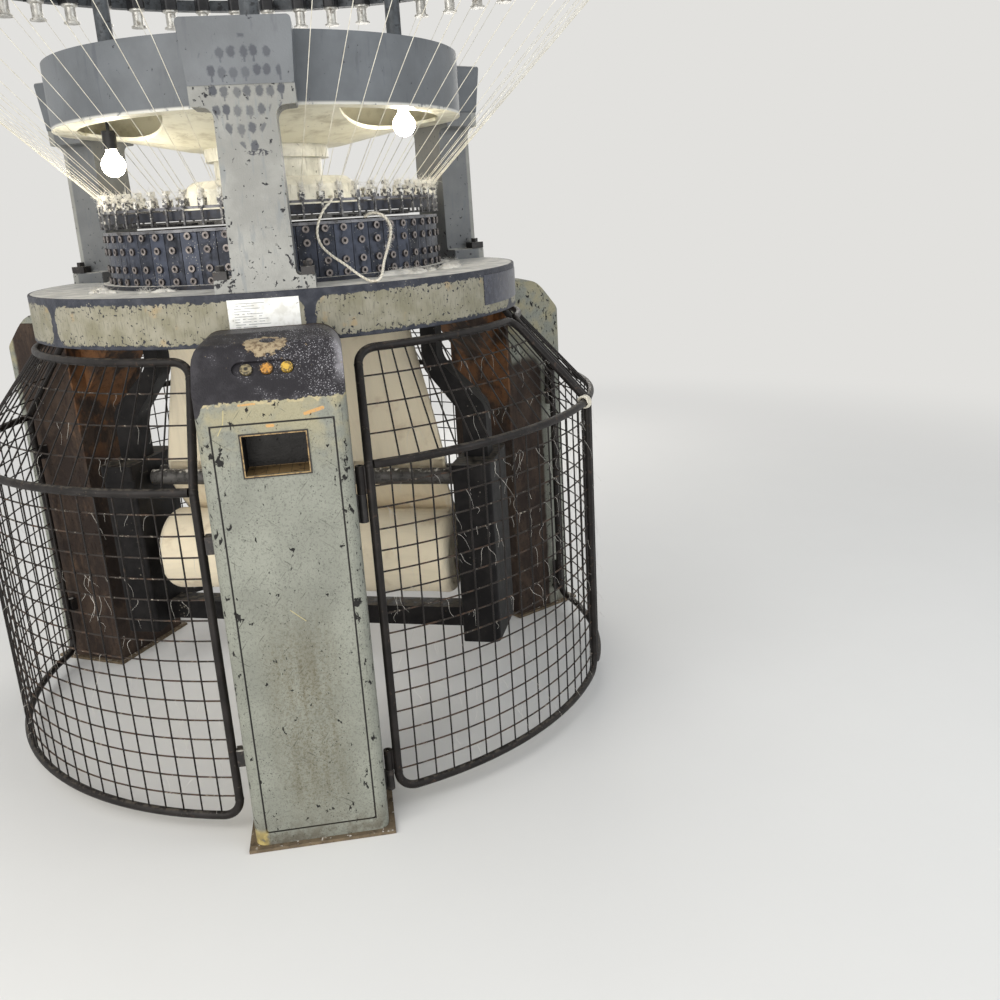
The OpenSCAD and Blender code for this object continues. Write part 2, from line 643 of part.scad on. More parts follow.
// Clamps that hold the fixed guards to the pedestals
CLAMP_HEIGHTS = [180, 700];
clamp_strap_h = 40;
post_r = sqrt(guard_r * guard_r + bend * bend - post_side * post_side);
clamp_strap_w = 28;
module guard_clamps() color([0.14, 0.14, 0.14])
    for (e = [LEFT_FROM, LEFT_TO, REAR_FROM, REAR_TO], z = CLAMP_HEIGHTS) rotate([0, 0, e[0]])
        translate([post_r - clamp_strap_w / 2, e[2] > 0 ? leg_w / 2 : -post_side + tube_r + tiny, z])
            cube([clamp_strap_w, post_gap - tube_r - tiny, clamp_strap_h]);

// Gate hinges. A lower barrel and its pin sit on the pedestal, the upper barrel is on the gate.
HINGES = [[62, 52], [735, 64]];
barrel_r = 10;
pin_r = 4.5;
strap_t = 8;
module hinge_pin(e) rotate([0, 0, e[0]]) for (h = HINGES) translate([post_r, e[2] * hinge_side, h[0]]) {
    cylinder(h = h[1], r = barrel_r, $fn = 48);
    cylinder(h = 2 * h[1] - 4, r = pin_r, $fn = 48);
    translate([-strap_t / 2, e[2] > 0 ? -hinge_gap : 0, 0]) cube([strap_t, hinge_gap, h[1]]);
}
module gate_hinge_pins() color([0.13, 0.13, 0.13]) {
    hinge_pin(FRONT_FROM);
    hinge_pin(SIDE_TO);
}
module hinge_barrel(e) rotate([0, 0, e[0]])
    for (h = HINGES) translate([post_r, e[2] * hinge_side, h[0] + h[1] + seat]) difference() {
        union() {
            cylinder(h = h[1], r = barrel_r, $fn = 48);
            translate([-strap_t / 2, e[2] > 0 ? 0 : hinge_gap - post_gap, 0])
                cube([strap_t, post_gap - hinge_gap, h[1]]);
        }
        translate([0, 0, -1]) cylinder(h = h[1] + 2, r = pin_r + shaft_fit, $fn = 48);
    }

module gate_front_leaf() color([0.12, 0.11, 0.1]) {
    guard_frame(FRONT_FROM, FRONT_TO, gate_low_z, gate_mid_z);
    hinge_barrel(FRONT_FROM);
    guard_uprights(FRONT_FROM, FRONT_TO, gate_low_z, gate_mid_z);
}
module gate_rear_leaf() color([0.12, 0.11, 0.1]) {
    guard_frame(SIDE_FROM, SIDE_TO, gate_low_z, gate_mid_z);
    hinge_barrel(SIDE_TO);
    guard_uprights(SIDE_FROM, SIDE_TO, gate_low_z, gate_mid_z);
}
module gate_front_hoops() color([0.3, 0.26, 0.22]) guard_hoop_set(FRONT_FROM, FRONT_TO, gate_low_z, gate_mid_z);
module gate_rear_hoops() color([0.3, 0.26, 0.22]) guard_hoop_set(SIDE_FROM, SIDE_TO, gate_low_z, gate_mid_z);

// Gears, with three points on each flank of a tooth
function involute(r, base) = let (a = acos(min(1, base / r))) tan(a) * 180 / PI - a;
function gear_outline(n, m) =
    let (pitch = m * n / 2, base = pitch * cos(20), foot = pitch - 1.25 * m, tip = pitch + m,
        half = 90 / n - backlash / 4 / pitch * 180 / PI)
    [for (i = [0:n - 1]) each [for (f = [[foot, 1], [pitch, 1], [tip, 1], [tip, -1], [pitch, -1], [foot, -1]])
        polar(f[0], i * 360 / n - f[1] * (half + involute(pitch, base) - involute(max(f[0], base), base)))]];
gear_in = 400;
module main_gear() color([0.45, 0.42, 0.36]) translate([0, 0, gear_z]) rotate([0, 0, LEG_ANGLES[2]])
    linear_extrude(gear_h) difference() {
        polygon(gear_outline(gear_teeth, gear_module));
        circle(r = gear_in, $fn = 180);
    }
module drive_pinion() color([0.5, 0.48, 0.44]) rotate([0, 0, LEG_ANGLES[2]]) translate([pinion_axis_r, 0, 0]) {
    translate([0, 0, gear_z - 2]) rotate([0, 0, 180 + 180 / pinion_teeth])
        linear_extrude(gear_h + 4) polygon(gear_outline(pinion_teeth, gear_module));
    translate([0, 0, bed_low - shaft_drop]) cylinder(h = shaft_drop + gear_z - bed_low, r = shaft_r, $fn = 64);
}

// Needle cylinder on the main gear, with tricks for the needles at its top
flange_r = 438;
trick_depth = 4;
trick_w = 3;
tricks = 180;
module needle_cylinder() color([0.55, 0.55, 0.55]) difference() {
    rotate_extrude($fn = 180) polygon([[cylinder_r - cylinder_wall, gear_z + gear_h],
        [flange_r, gear_z + gear_h], [flange_r, gear_z + gear_h + 18], [cylinder_r, gear_z + gear_h + 30],
        [cylinder_r, segment_top + cap_ring_t], [cylinder_r - cylinder_wall, segment_top + cap_ring_t]]);
    for (i = [0:tricks - 1]) rotate([0, 0, i * 360 / tricks])
        translate([cylinder_r - trick_depth, -trick_w / 2, segment_top - 12])
            cube([trick_depth + 1, trick_w, cap_ring_t + 13]);
}

dial_t = 12;
dial_z = segment_top + cap_ring_t + 6;
module needle_dial() color([0.58, 0.58, 0.58]) ring(dial_shaft_r, cylinder_r - 5, dial_z, dial_z + dial_t);
module dial_shaft() color([0.6, 0.6, 0.6]) translate([0, 0, dial_z])
    cylinder(h = crown_top - crown_t - dial_z - 40, r = dial_shaft_r, $fn = 64);

// Take-down, in its own frame with x along the rollers
module takedown() rotate([0, 0, takedown_angle]) children();
box_out = box_in + box_w;
journal = 20;
cloth_half = 446;
roller_half = box_in - 8;
roller_y = roller_r + cloth_t / 2 + seat;
arm_in_top = gear_in + 6;
arm_out_top = 450;
arm_d = 70;
arm_knee_z = 950;
module takedown_arm() side_plate(arm_d) polygon(rounded([[arm_in_top, gear_z, 0],
    [arm_in_top, arm_knee_z + 10, 60], [box_in + 18, arm_knee_z - 125, 60], [box_in + 18, box_top, 0],
    [box_out - 22, box_top, 0], [box_out - 22, arm_knee_z - 100, 60], [arm_out_top, arm_knee_z + 30, 60],
    [arm_out_top, gear_z, 0]]));
module takedown_arms() color([0.1, 0.1, 0.11]) takedown() for (s = [0, 180]) rotate([0, 0, s]) takedown_arm();

lid_h = 46;
lid_lip = 9;
module side_box() difference() {
    union() {
        translate([box_in, 0, box_z]) linear_extrude(box_top - lid_h - box_z) polygon(rounded([
            [0, -box_d / 2, 10], [box_w, -box_d / 2, 22], [box_w, box_d / 2, 22], [0, box_d / 2, 10]]));
        translate([box_in, 0, box_top - lid_h]) linear_extrude(lid_h) polygon(rounded([
            [0, -box_d / 2 - lid_lip, 10], [box_w, -box_d / 2 - lid_lip, 26],
            [box_w, box_d / 2 + lid_lip, 26], [0, box_d / 2 + lid_lip, 10]]));
    }
    for (y = [-roller_y, roller_y]) shaft_hole(y, roller_z, roller_r / 2);
    shaft_hole(0, roll_z, roll_shaft_r);
}
module shaft_hole(y, z, r) translate([box_in - 1, y, z]) rotate([0, 90, 0])
    cylinder(h = journal + 3, r = r + shaft_fit, $fn = 48);
module side_box_right() color([0.09, 0.09, 0.1]) takedown() side_box();
module side_box_left() color([0.09, 0.09, 0.1]) takedown() rotate([0, 0, 180]) side_box();

beam_h = 60;
beam_d = 70;
module takedown_beam() color([0.11, 0.11, 0.12]) takedown()
    translate([-box_in, -beam_d / 2, box_z + 10]) cube([2 * box_in, beam_d, beam_h]);

module draw_roller(side) color([0.3, 0.3, 0.3]) takedown() translate([0, side * roller_y, roller_z])
    rotate([0, 90, 0]) {
        cylinder(h = 2 * roller_half, r = roller_r, center = true, $fn = 64);
        cylinder(h = 2 * (box_in + journal), r = roller_r / 2, center = true, $fn = 48);
    }
module draw_roller_front() draw_roller(-1);
module draw_roller_back() draw_roller(1);

roll_shaft_r = 15;
roll_half = cloth_half + 14;
module along_roll() takedown() translate([0, 0, roll_z]) rotate([0, 90, 0]) children();
module roll_shaft() color([0.4, 0.4, 0.4]) along_roll()
    cylinder(h = 2 * (box_in + journal), r = roll_shaft_r, center = true, $fn = 48);
module cloth_roll() color([0.87, 0.8, 0.68]) along_roll() rotate_extrude($fn = 96)
    polygon(rounded([[roll_shaft_r, -roll_half, 0], [roll_r, -roll_half, 26], [roll_r, roll_half, 26],
        [roll_shaft_r, roll_half, 0]]));

// Tube of cloth from the cylinder to the nip, then a flat web to the roll
cloth_r = cylinder_r - cylinder_wall - seat;
spread_z = roller_z + 42;
web_r = roll_r + 2;
web_bend_z = roller_z - roller_r - 2;
web_lean = asin(web_r / (web_bend_z - roll_z));
module cloth_web() color([0.87, 0.8, 0.68]) takedown() {
    hull() translate([0, 0, gear_z + gear_h - 1])
        cylinder(h = segment_top - gear_z - gear_h - 6, r = cloth_r, $fn = 64);
    hull() {
        translate([0, 0, gear_z + gear_h - 2]) cylinder(h = 1, r = cloth_r, $fn = 64);
        translate([-cloth_half, -cloth_t / 2, spread_z]) cube([2 * cloth_half, cloth_t, 2]);
    }
    rotate([90, 0, 90]) linear_extrude(2 * cloth_half, center = true) polygon([[-cloth_t / 2, spread_z + 1],
        [cloth_t / 2, spread_z + 1], [cloth_t / 2, web_bend_z],
        [cloth_t / 2 + web_r * cos(web_lean), roll_z + web_r * sin(web_lean)],
        [-cloth_t / 2 + web_r * cos(web_lean), roll_z + web_r * sin(web_lean)], [-cloth_t / 2, web_bend_z]]);
}

// Yarn ring above the crown
arm_turn = 3;
post_circle_r = 470;
arm_tube_r = 22;
arm_bend = 90;
arm_z = ring_z + ring_tube / 2;
module yarn_ring_arms() color([0.25, 0.28, 0.3]) for (a = LEG_ANGLES) rotate([0, 0, a + arm_turn]) {
    bent_tube([[post_circle_r, 0, crown_top + 5], [post_circle_r, 0, arm_z],
        [ring_r - ring_tube - seat, 0, arm_z]], [arm_bend], arm_tube_r);
    translate([post_circle_r, 0, crown_top]) cylinder(h = 12, r = 52, $fn = 48);
}
module yarn_ring() color([0.3, 0.32, 0.33]) ring(ring_r - ring_tube, ring_r, ring_z, ring_z + ring_tube);

feeder_body_w = 46;
feeder_body_h = 52;
feeder_body_in = wheel_circle_r - wheel_r - 6;
feeder_body_z = ring_z - 8;
feeder_body_out = ring_r - ring_tube - seat;
axle_r = 5;
function off_leg(i, a) = abs((i * feed_step - a + 540) % 360 - 180);
function carries_yarn(i) = min([for (a = LEG_ANGLES) off_leg(i, a)]) >= 1.5 * feed_step;
module storage_feeder() translate([feeder_body_in, 0, feeder_body_z]) difference() {
    linear_extrude(feeder_body_h) polygon(rounded([[0, -feeder_body_w / 2, 12],
        [feeder_body_out - feeder_body_in, -feeder_body_w / 2, 0],
        [feeder_body_out - feeder_body_in, feeder_body_w / 2, 0], [0, feeder_body_w / 2, 12]]));
    translate([wheel_circle_r - feeder_body_in, 0, -1])
        cylinder(h = feeder_body_h + 2, r = axle_r + shaft_fit, $fn = 32);
}
module storage_feeders() color([0.13, 0.13, 0.14])
    for (i = [0:feeds - 1]) rotate([0, 0, i * feed_step]) storage_feeder();

// Yarn wheel, axle and belt pulley, turned in one piece
wheel_h = 60;
wheel_waist_r = wheel_r - 8;
pulley_r = 22;
pulley_h = 12;
module feeder_wheel() translate([wheel_circle_r, 0, feeder_body_z]) rotate_extrude($fn = 40)
    polygon([[0, -wheel_h - seat], [wheel_r, -wheel_h - seat], [wheel_r, -wheel_h + 5],
        [wheel_waist_r, -wheel_h + 9], [wheel_waist_r, -10], [wheel_r, -6], [wheel_r, -seat], [axle_r, -seat],
        [axle_r, feeder_body_h + seat], [pulley_r, feeder_body_h + seat],
        [pulley_r, feeder_body_h + seat + pulley_h], [0, feeder_body_h + seat + pulley_h]]);
module feeder_wheels() color([0.75, 0.75, 0.72])
    for (i = [0:feeds - 1]) rotate([0, 0, i * feed_step]) feeder_wheel();

belt_t = 1.5;
module feeder_belt() color([0.1, 0.1, 0.1]) translate([0, 0, feeder_body_z + feeder_body_h + seat + 1])
    ring(wheel_circle_r + pulley_r + seat, wheel_circle_r + pulley_r + seat + belt_t, 0, pulley_h - 2);

// Taut yarns from the wheels down to the feeders' eyelets
eyelet_gap = 0.4;
yarn_gap = 1;
yarn_low = [drum_r + 5 + eyelet_gap, 0, feeder_top + 34];
yarn_high = [wheel_circle_r - wheel_waist_r - yarn_gap, 0, feeder_body_z - wheel_h + 20];
module yarns() color([0.9, 0.9, 0.86]) for (i = [0:feeds - 1])
    if (carries_yarn(i)) rotate([0, 0, i * feed_step]) rod(yarn_low, yarn_high, yarn_r, 8);

// Rope that hangs from the feeder ring to the bed, swept along points chosen by hand
rope_r = 3.5;
ROPE = [[158, -411, 1428.8], [163, -424, 1429.5], [166, -437, 1427], [160, -449, 1417], [143, -457, 1400],
    [129, -465, 1375], [122, -473, 1345], [130, -488, 1317], [152, -512, 1294], [182, -540, 1272],
    [212, -577, 1248], [232, -600, 1236.8], [242, -608, 1235.8], [252, -606, 1236.8], [262, -592, 1248],
    [272, -540, 1275], [285, -490, 1302], [296, -448, 1328], [300, -424, 1350], [294, -408, 1367],
    [283, -402, 1379], [270, -397, 1385], [258, -389, 1386], [248, -379, 1383], [241, -371, 1377]];
function tangent(path, i) = unit(path[min(i + 1, len(path) - 1)] - path[max(i - 1, 0)]);
function rope_ring(path, i, r, n) =
    let (t = tangent(path, i), x = unit(cross(t, [0.3, -0.5, 0.2])), y = cross(t, x))
    [for (k = [0:n - 1]) path[i] + r * (cos(k * 360 / n) * x + sin(k * 360 / n) * y)];
module swept(path, r, n) {
    m = len(path);
    polyhedron([for (i = [0:m - 1]) each rope_ring(path, i, r, n)],
        concat([[for (k = [0:n - 1]) k]], [[for (k = [n - 1:-1:0]) (m - 1) * n + k]],
            [for (i = [0:m - 2], k = [0:n - 1])
                [i * n + k, (i + 1) * n + k, (i + 1) * n + (k + 1) % n, i * n + (k + 1) % n]]));
}
module hanging_rope() color([0.85, 0.83, 0.76]) swept(ROPE, rope_r, 8);

// Card and blank plate on the bed's rim
card_w_angle = 13.6;
card_h = 78;
card_top = bed_top - 14;
card_t = 0.8;
module rim_plate(a, w, z, h, t) rotate([0, 0, a - w / 2]) rotate_extrude(angle = w, $fn = 180)
    translate([bed_r, z]) square([t, h]);
module job_card() color([0.86, 0.87, 0.88]) rim_plate(-90.8, card_w_angle, card_top - card_h, card_h, card_t);
plate_angle = -23;
plate_w_angle = 30;
plate_margin = 14;
module blank_plate() color([0.16, 0.17, 0.22])
    rim_plate(plate_angle, plate_w_angle, bed_low + 2 * plate_margin, rim_h - 3 * plate_margin, 1.5);

bed_ring();
gear_cover();
main_bearing();
leg_front();
leg_rear_right();
leg_rear_left();
foot_plates();
access_panel();
window_bezel();
column_front();
column_rear_right();
column_rear_left();
column_bolts();
cam_base_ring();
cam_segments();
cam_bolts();
cam_cap_ring();
dial_cam_ring();
feeder_ring();
yarn_feeders();
dial_cover();
crown_hub();
crown();
lamp_holders();
lamp_bulbs();
guard_left();
guard_rear();
guard_hoops();
guard_clamps();
gate_hinge_pins();
yarn_ring_arms();
yarn_ring();
storage_feeders();
feeder_wheels();
feeder_belt();
yarns();
hanging_rope();
job_card();
blank_plate();
needle_cylinder();
main_gear();
takedown_arms();
side_box_right();
side_box_left();
takedown_beam();
cloth_web();
draw_roller_front();
draw_roller_back();
roll_shaft();
cloth_roll();
needle_dial();
dial_shaft();
drive_pinion();
gate_front_leaf();
gate_front_hoops();
gate_rear_leaf();
gate_rear_hoops();
button_left();
button_middle();
button_right();
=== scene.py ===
"""Finish of a circular knitting machine: worn paint, rusty mesh, knitted cloth, rope, lint and a plain studio."""

import math

import bpy
import numpy as np
from bpy.props import FloatProperty, FloatVectorProperty, IntProperty, PointerProperty
from mathutils import Matrix, Vector


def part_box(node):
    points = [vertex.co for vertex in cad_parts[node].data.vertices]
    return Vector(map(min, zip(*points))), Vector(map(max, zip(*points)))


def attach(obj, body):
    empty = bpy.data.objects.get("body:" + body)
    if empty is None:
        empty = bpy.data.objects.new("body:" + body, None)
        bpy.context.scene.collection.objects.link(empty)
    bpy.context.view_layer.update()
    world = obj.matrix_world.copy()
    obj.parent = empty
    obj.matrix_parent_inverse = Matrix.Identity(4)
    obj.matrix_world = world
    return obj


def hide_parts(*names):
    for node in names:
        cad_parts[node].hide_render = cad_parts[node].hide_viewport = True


bl_info = {
    "name": "Circular knitting machine finish",
    "version": (1, 0, 0),
    "blender": (4, 5, 0),
    "location": "View3D > Sidebar > Knitting",
    "description": "Paint, wear, cloth, rope and lint for a circular knitting machine",
    "category": "Object",
}

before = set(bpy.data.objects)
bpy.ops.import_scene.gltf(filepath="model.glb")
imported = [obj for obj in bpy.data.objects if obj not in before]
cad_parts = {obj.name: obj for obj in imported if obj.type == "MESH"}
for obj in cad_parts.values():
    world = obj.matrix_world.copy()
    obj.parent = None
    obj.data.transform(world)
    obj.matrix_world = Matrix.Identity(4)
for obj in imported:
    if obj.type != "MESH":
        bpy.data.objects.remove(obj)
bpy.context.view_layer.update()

# How far the take-down is turned at rest, and how many segments the cam box has
TAKEDOWN_ANGLE = math.radians(-20)
CAM_SEGMENTS = 60


def top(node):
    """Height of a node's highest point."""
    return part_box(node)[1].z


def foot(node):
    """Height of a node's lowest point."""
    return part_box(node)[0].z


def reach(node):
    """Largest radius of a round node."""
    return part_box(node)[1].x


# Shader expressions


def linear(colour):
    """A colour as seen on a screen, turned into the shader's linear scale."""
    return tuple(c / 12.92 if c <= 0.04045 else ((c + 0.055) / 1.055) ** 2.4 for c in colour[:3]) + (1.0,)


def seen(red, green, blue):
    """A colour from the 0 to 255 values that a screen would show."""
    return linear((red / 255, green / 255, blue / 255))


def shade(colour, factor, lift=0.0):
    """A lighter or darker colour: each channel times factor plus lift, at most 1."""
    return tuple(min(1.0, c * factor + lift) for c in colour[:3]) + (1.0,)


class Reading:
    """A number that varies over a surface. Arithmetic on it adds Math nodes."""

    def __init__(self, finish, socket):
        self.finish = finish
        self.socket = socket

    def math(self, operation, *values):
        return self.finish.math(operation, *values)

    def __add__(self, other):
        return self.math("ADD", self, other)

    __radd__ = __add__

    def __sub__(self, other):
        return self.math("SUBTRACT", self, other)

    def __rsub__(self, other):
        return self.math("SUBTRACT", other, self)

    def __mul__(self, other):
        return self.math("MULTIPLY", self, other)

    __rmul__ = __mul__

    def __truediv__(self, other):
        return self.math("DIVIDE", self, other)

    def __abs__(self):
        return self.math("ABSOLUTE", self)

    def __pow__(self, other):
        return self.math("POWER", self, other)

    def fraction(self):
        """What is left above the next whole number down."""
        return self.math("FRACT", self)

    def floor(self):
        """The next whole number down."""
        return self.math("FLOOR", self)

    def at_most(self, other):
        """The smaller of two numbers."""
        return self.math("MINIMUM", self, other)

    def at_least(self, other):
        """The larger of two numbers."""
        return self.math("MAXIMUM", self, other)

    def rise(self, low, high):
        """0 below low, 1 above high, with a smooth step between. A high under low makes it fall."""
        flipped = high < low
        span = {"Value": self, "From Min": min(low, high), "From Max": max(low, high)}
        span["To Min"] = 1.0 if flipped else 0.0
        span["To Max"] = 0.0 if flipped else 1.0
        return self.finish.node("ShaderNodeMapRange", {"interpolation_type": "SMOOTHSTEP"}, span)


class Finish:
    """A node material in the making, with readings of Object coordinates in x, y and z."""

    def __init__(self, name):
        self.material = bpy.data.materials.new(name)
        self.material.use_nodes = True
        self.tree = self.material.node_tree
        self.tree.nodes.clear()
        self.place = self.node("ShaderNodeTexCoord", out="Object")
        self.x, self.y, self.z = self.parts(self.place)

    def node(self, kind, settings=None, inputs=None, out=0):
        """Adds a node: settings first, then the values or links of its sockets. Returns one output."""
        made = self.tree.nodes.new(kind)
        for key, value in (settings or {}).items():
            setattr(made, key, value)
        for key, value in (inputs or {}).items():
            if isinstance(value, Reading):
                self.tree.links.new(value.socket, made.inputs[key])
            else:
                made.inputs[key].default_value = value
        return Reading(self, made.outputs[out]) if made.outputs else None

    def math(self, operation, *values):
        """One Math node on readings and plain numbers."""
        return self.node("ShaderNodeMath", {"operation": operation}, dict(enumerate(values)))

    def parts(self, vector):
        """The three numbers of a vector."""
        split = self.node("ShaderNodeSeparateXYZ", inputs={0: vector})
        return [Reading(self, split.socket.node.outputs[i]) for i in range(3)]

    def vector(self, x, y, z):
        """A vector from three readings or plain numbers."""
        return self.node("ShaderNodeCombineXYZ", inputs={0: x, 1: y, 2: z})

    def noise(self, size, detail=3.0, rough=0.55, at=None, warp=0.0):
        """Cloudy noise about 0.5, with clouds of the given size in metres."""
        inputs = {"Vector": at or self.place, "Scale": 1 / size, "Detail": detail, "Roughness": rough,
                  "Distortion": warp}
        return self.node("ShaderNodeTexNoise", inputs=inputs)

    def grains(self, size):
        """Distance to scattered points, about 0 at a point and 1 between points."""
        return self.node("ShaderNodeTexVoronoi", inputs={"Vector": self.place, "Scale": 1 / size}, out="Distance")

    def chance(self, *cell):
        """A random number from 0 to 1 for each cell of a grid."""
        at = self.vector(*(list(cell) + [0.0] * (3 - len(cell))))
        return self.node("ShaderNodeTexWhiteNoise", inputs={"Vector": at}, out="Value")

    def blend(self, under, over, share):
        """One colour laid over another where share is 1."""
        return self.node("ShaderNodeMix", {"data_type": "RGBA"}, {0: share, 6: under, 7: over}, out=2)

    def turned(self, degrees):
        """Readings across, outwards and up in the frame of a leg at that angle."""
        c, s = math.cos(math.radians(degrees)), math.sin(math.radians(degrees))
        return self.y * c - self.x * s, self.x * c + self.y * s, self.z

    def radius(self):
        """Distance from the machine's axis."""
        return (self.x * self.x + self.y * self.y) ** 0.5

    def azimuth(self):
        """Angle round the machine in turns, from -0.5 to 0.5, with 0 at +X."""
        return self.math("ARCTAN2", self.y, self.x) / (2 * math.pi)

    def surface(self, colour, rough=0.5, metal=0.0, relief=None, depth=0.0005, **sockets):
        """Closes the material with a Principled shader. relief is a height, depth its size in metres."""
        inputs = {"Base Color": colour, "Roughness": rough, "Metallic": metal}
        for key, value in sockets.items():
            inputs[key.replace("_", " ")] = value
        if relief is not None:
            bump = {"Height": relief, "Distance": depth, "Strength": 1.0}
            inputs["Normal"] = self.node("ShaderNodeBump", inputs=bump)
        shader = self.node("ShaderNodeBsdfPrincipled", inputs=inputs)
        self.node("ShaderNodeOutputMaterial", inputs={"Surface": shader})
        return self.material

    def along(self, length, turn=(0.0, 0.0, 0.0)):
        """Object coordinates turned by the given degrees and drawn out by a factor on each turned axis."""
        inputs = {"Vector": self.place, "Rotation": tuple(math.radians(t) for t in turn), "Scale": length}
        return self.node("ShaderNodeMapping", {"vector_type": "TEXTURE"}, inputs)

    def disc(self, a, b, centre, half):
        """1 at the centre of an ellipse in readings a and b, falling to 0 at its edge."""
        return ((((a - centre[0]) / half[0]) ** 2 + ((b - centre[1]) / half[1]) ** 2) ** 0.5).rise(1.0, 0.0)

    def stroke(self, a, b, start, end, width):
        """1 on a painted stroke between two points in readings a and b."""
        run = (end[0] - start[0], end[1] - start[1])
        length = run[0] ** 2 + run[1] ** 2
        share = ((a - start[0]) * run[0] + (b - start[1]) * run[1]) / length
        share = share.at_least(0.0).at_most(1.0)
        off = ((a - start[0] - share * run[0]) ** 2 + (b - start[1] - share * run[1]) ** 2) ** 0.5
        return off.rise(width, width * 0.6)

    def upward(self):
        """1 on faces that look up, where dust settles."""
        return self.parts(self.node("ShaderNodeNewGeometry", out="Normal"))[2].rise(0.6, 0.95)

    def downward(self):
        """1 on faces that look down."""
        return self.parts(self.node("ShaderNodeNewGeometry", out="Normal"))[2].rise(-0.25, -0.6)


def dress(material, *nodes):
    """Gives CAD nodes a finished material."""
    for node in nodes:
        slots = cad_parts[node].data.materials
        slots.clear()
        slots.append(material)


# Sizes and colours that a user would change


def tint(name, description, red, green, blue):
    """A colour setting, with its default in the 0 to 255 values that a screen would show."""
    return FloatVectorProperty(name=name, description=description, subtype="COLOR_GAMMA", size=3, min=0, max=1,
                               default=(red / 255, green / 255, blue / 255))


class PaintSettings(bpy.types.PropertyGroup):
    """Colours of the painted and bare parts, as a screen shows them."""

    pedestal: tint("Pedestal", "Hammered paint of the pedestals", 131, 133, 123)
    cap: tint("Cap", "Worn near-black paint of the pedestals' caps", 36, 34, 38)
    bared: tint("Bared paint", "Old cream paint that shows through", 172, 160, 126)
    rim_patch: tint("Rim patch", "Pale patches of the bed's rim", 146, 142, 126)
    rim_border: tint("Rim border", "Dark borders of the bed's rim", 42, 45, 54)
    column: tint("Column", "Grey paint of the columns", 142, 142, 137)
    crown: tint("Crown", "Blue-grey outside of the crown", 98, 102, 106)
    crown_under: tint("Crown underside", "Cream underside of the crown", 226, 223, 206)
    drum: tint("Cam box", "Blue-black steel of the cam box", 40, 43, 51)
    tube: tint("Guard tube", "Brown-black paint of the guards' tubes", 22, 19, 18)
    wire: tint("Guard wire", "Rusty dark wire of the guards", 42, 36, 32)
    rust: tint("Rust", "Rust and old oil on the inner faces", 70, 56, 46)
    black: tint("Take-down", "Black paint of the take-down", 15, 14, 15)


class ClothSettings(bpy.types.PropertyGroup):
    """The knitted tube and the roll that it is wound on."""

    colour: tint("Cloth", "Undyed knitted cotton", 252, 238, 208)
    wale: FloatProperty(name="Wale", description="Width of one rib of the knit", unit="LENGTH", default=0.0016,
                        min=0.0005, max=0.01)
    fold_depth: FloatProperty(name="Fold depth", description="Depth of the soft folds", unit="LENGTH",
                              default=0.007, min=0.0, max=0.02)


class RopeSettings(bpy.types.PropertyGroup):
    """The length of cotton rope that hangs from the feeder ring."""

    colour: tint("Rope", "Cotton rope", 230, 224, 208)
    diameter: FloatProperty(name="Diameter", description="Thickness of the rope", unit="LENGTH", default=0.007,
                            min=0.004, max=0.012)
    twist: FloatProperty(name="Twist", description="Length of one turn of the strands", unit="LENGTH",
                         default=0.035, min=0.01, max=0.1)


class LintSettings(bpy.types.PropertyGroup):
    """Loose cotton fibres that settle on the machine."""

    colour: tint("Lint", "Colour of the loose fibres", 226, 222, 213)
    on_guards: IntProperty(name="On guards", description="Fibres on each guard", default=230, min=0, max=4000)
    on_feeders: IntProperty(name="On feeders", description="Fibres on the feeders", default=3600, min=0, max=6000)
    length: FloatProperty(name="Length", description="Usual length of a fibre", unit="LENGTH", default=0.022,
                          min=0.005, max=0.08)


class StageSettings(bpy.types.PropertyGroup):
    """Camera, floor and light."""

    eye: FloatVectorProperty(name="Camera", description="Place of the camera", subtype="TRANSLATION",
                             unit="LENGTH", default=(0.1662, -2.9396, 1.3875))
    yaw: FloatProperty(name="Yaw", description="Camera's turn to the right", subtype="ANGLE",
                       default=math.radians(8.272))
    pitch: FloatProperty(name="Pitch", description="Camera's tilt downwards", subtype="ANGLE",
                         default=math.radians(16.697))
    roll: FloatProperty(name="Roll", description="Camera's lean", subtype="ANGLE", default=math.radians(-3.3))
    lens: FloatProperty(name="Lens", description="Focal length on a 36 mm sensor in millimetres", default=35.37,
                        min=10, max=200)
    floor: tint("Floor", "Pale floor and background", 226, 225, 222)


# Mesh helpers


def quads(rows, columns, around=False):
    """Corner indices of the quads of a grid of points, closed across its columns if around is set."""
    i, j = np.meshgrid(np.arange(rows - 1), np.arange(columns if around else columns - 1), indexing="ij")
    a, b = i * columns + j, i * columns + (j + 1) % columns
    return np.stack([a, b, b + columns, a + columns], -1).reshape(-1, 4)


def piece(name, points, faces, material, smooth=True):
    """A new object from an array of points and an array of faces, or a list of such arrays."""
    mesh = bpy.data.meshes.new(name)
    groups = faces if isinstance(faces, list) else [faces]
    mesh.from_pydata(np.asarray(points, float).reshape(-1, 3), [], [f for g in groups for f in g.tolist()])
    mesh.polygons.foreach_set("use_smooth", np.full(len(mesh.polygons), smooth))
    mesh.materials.append(material)
    mesh.update()
    made = bpy.data.objects.new(name, mesh)
    bpy.context.scene.collection.objects.link(made)
    return made


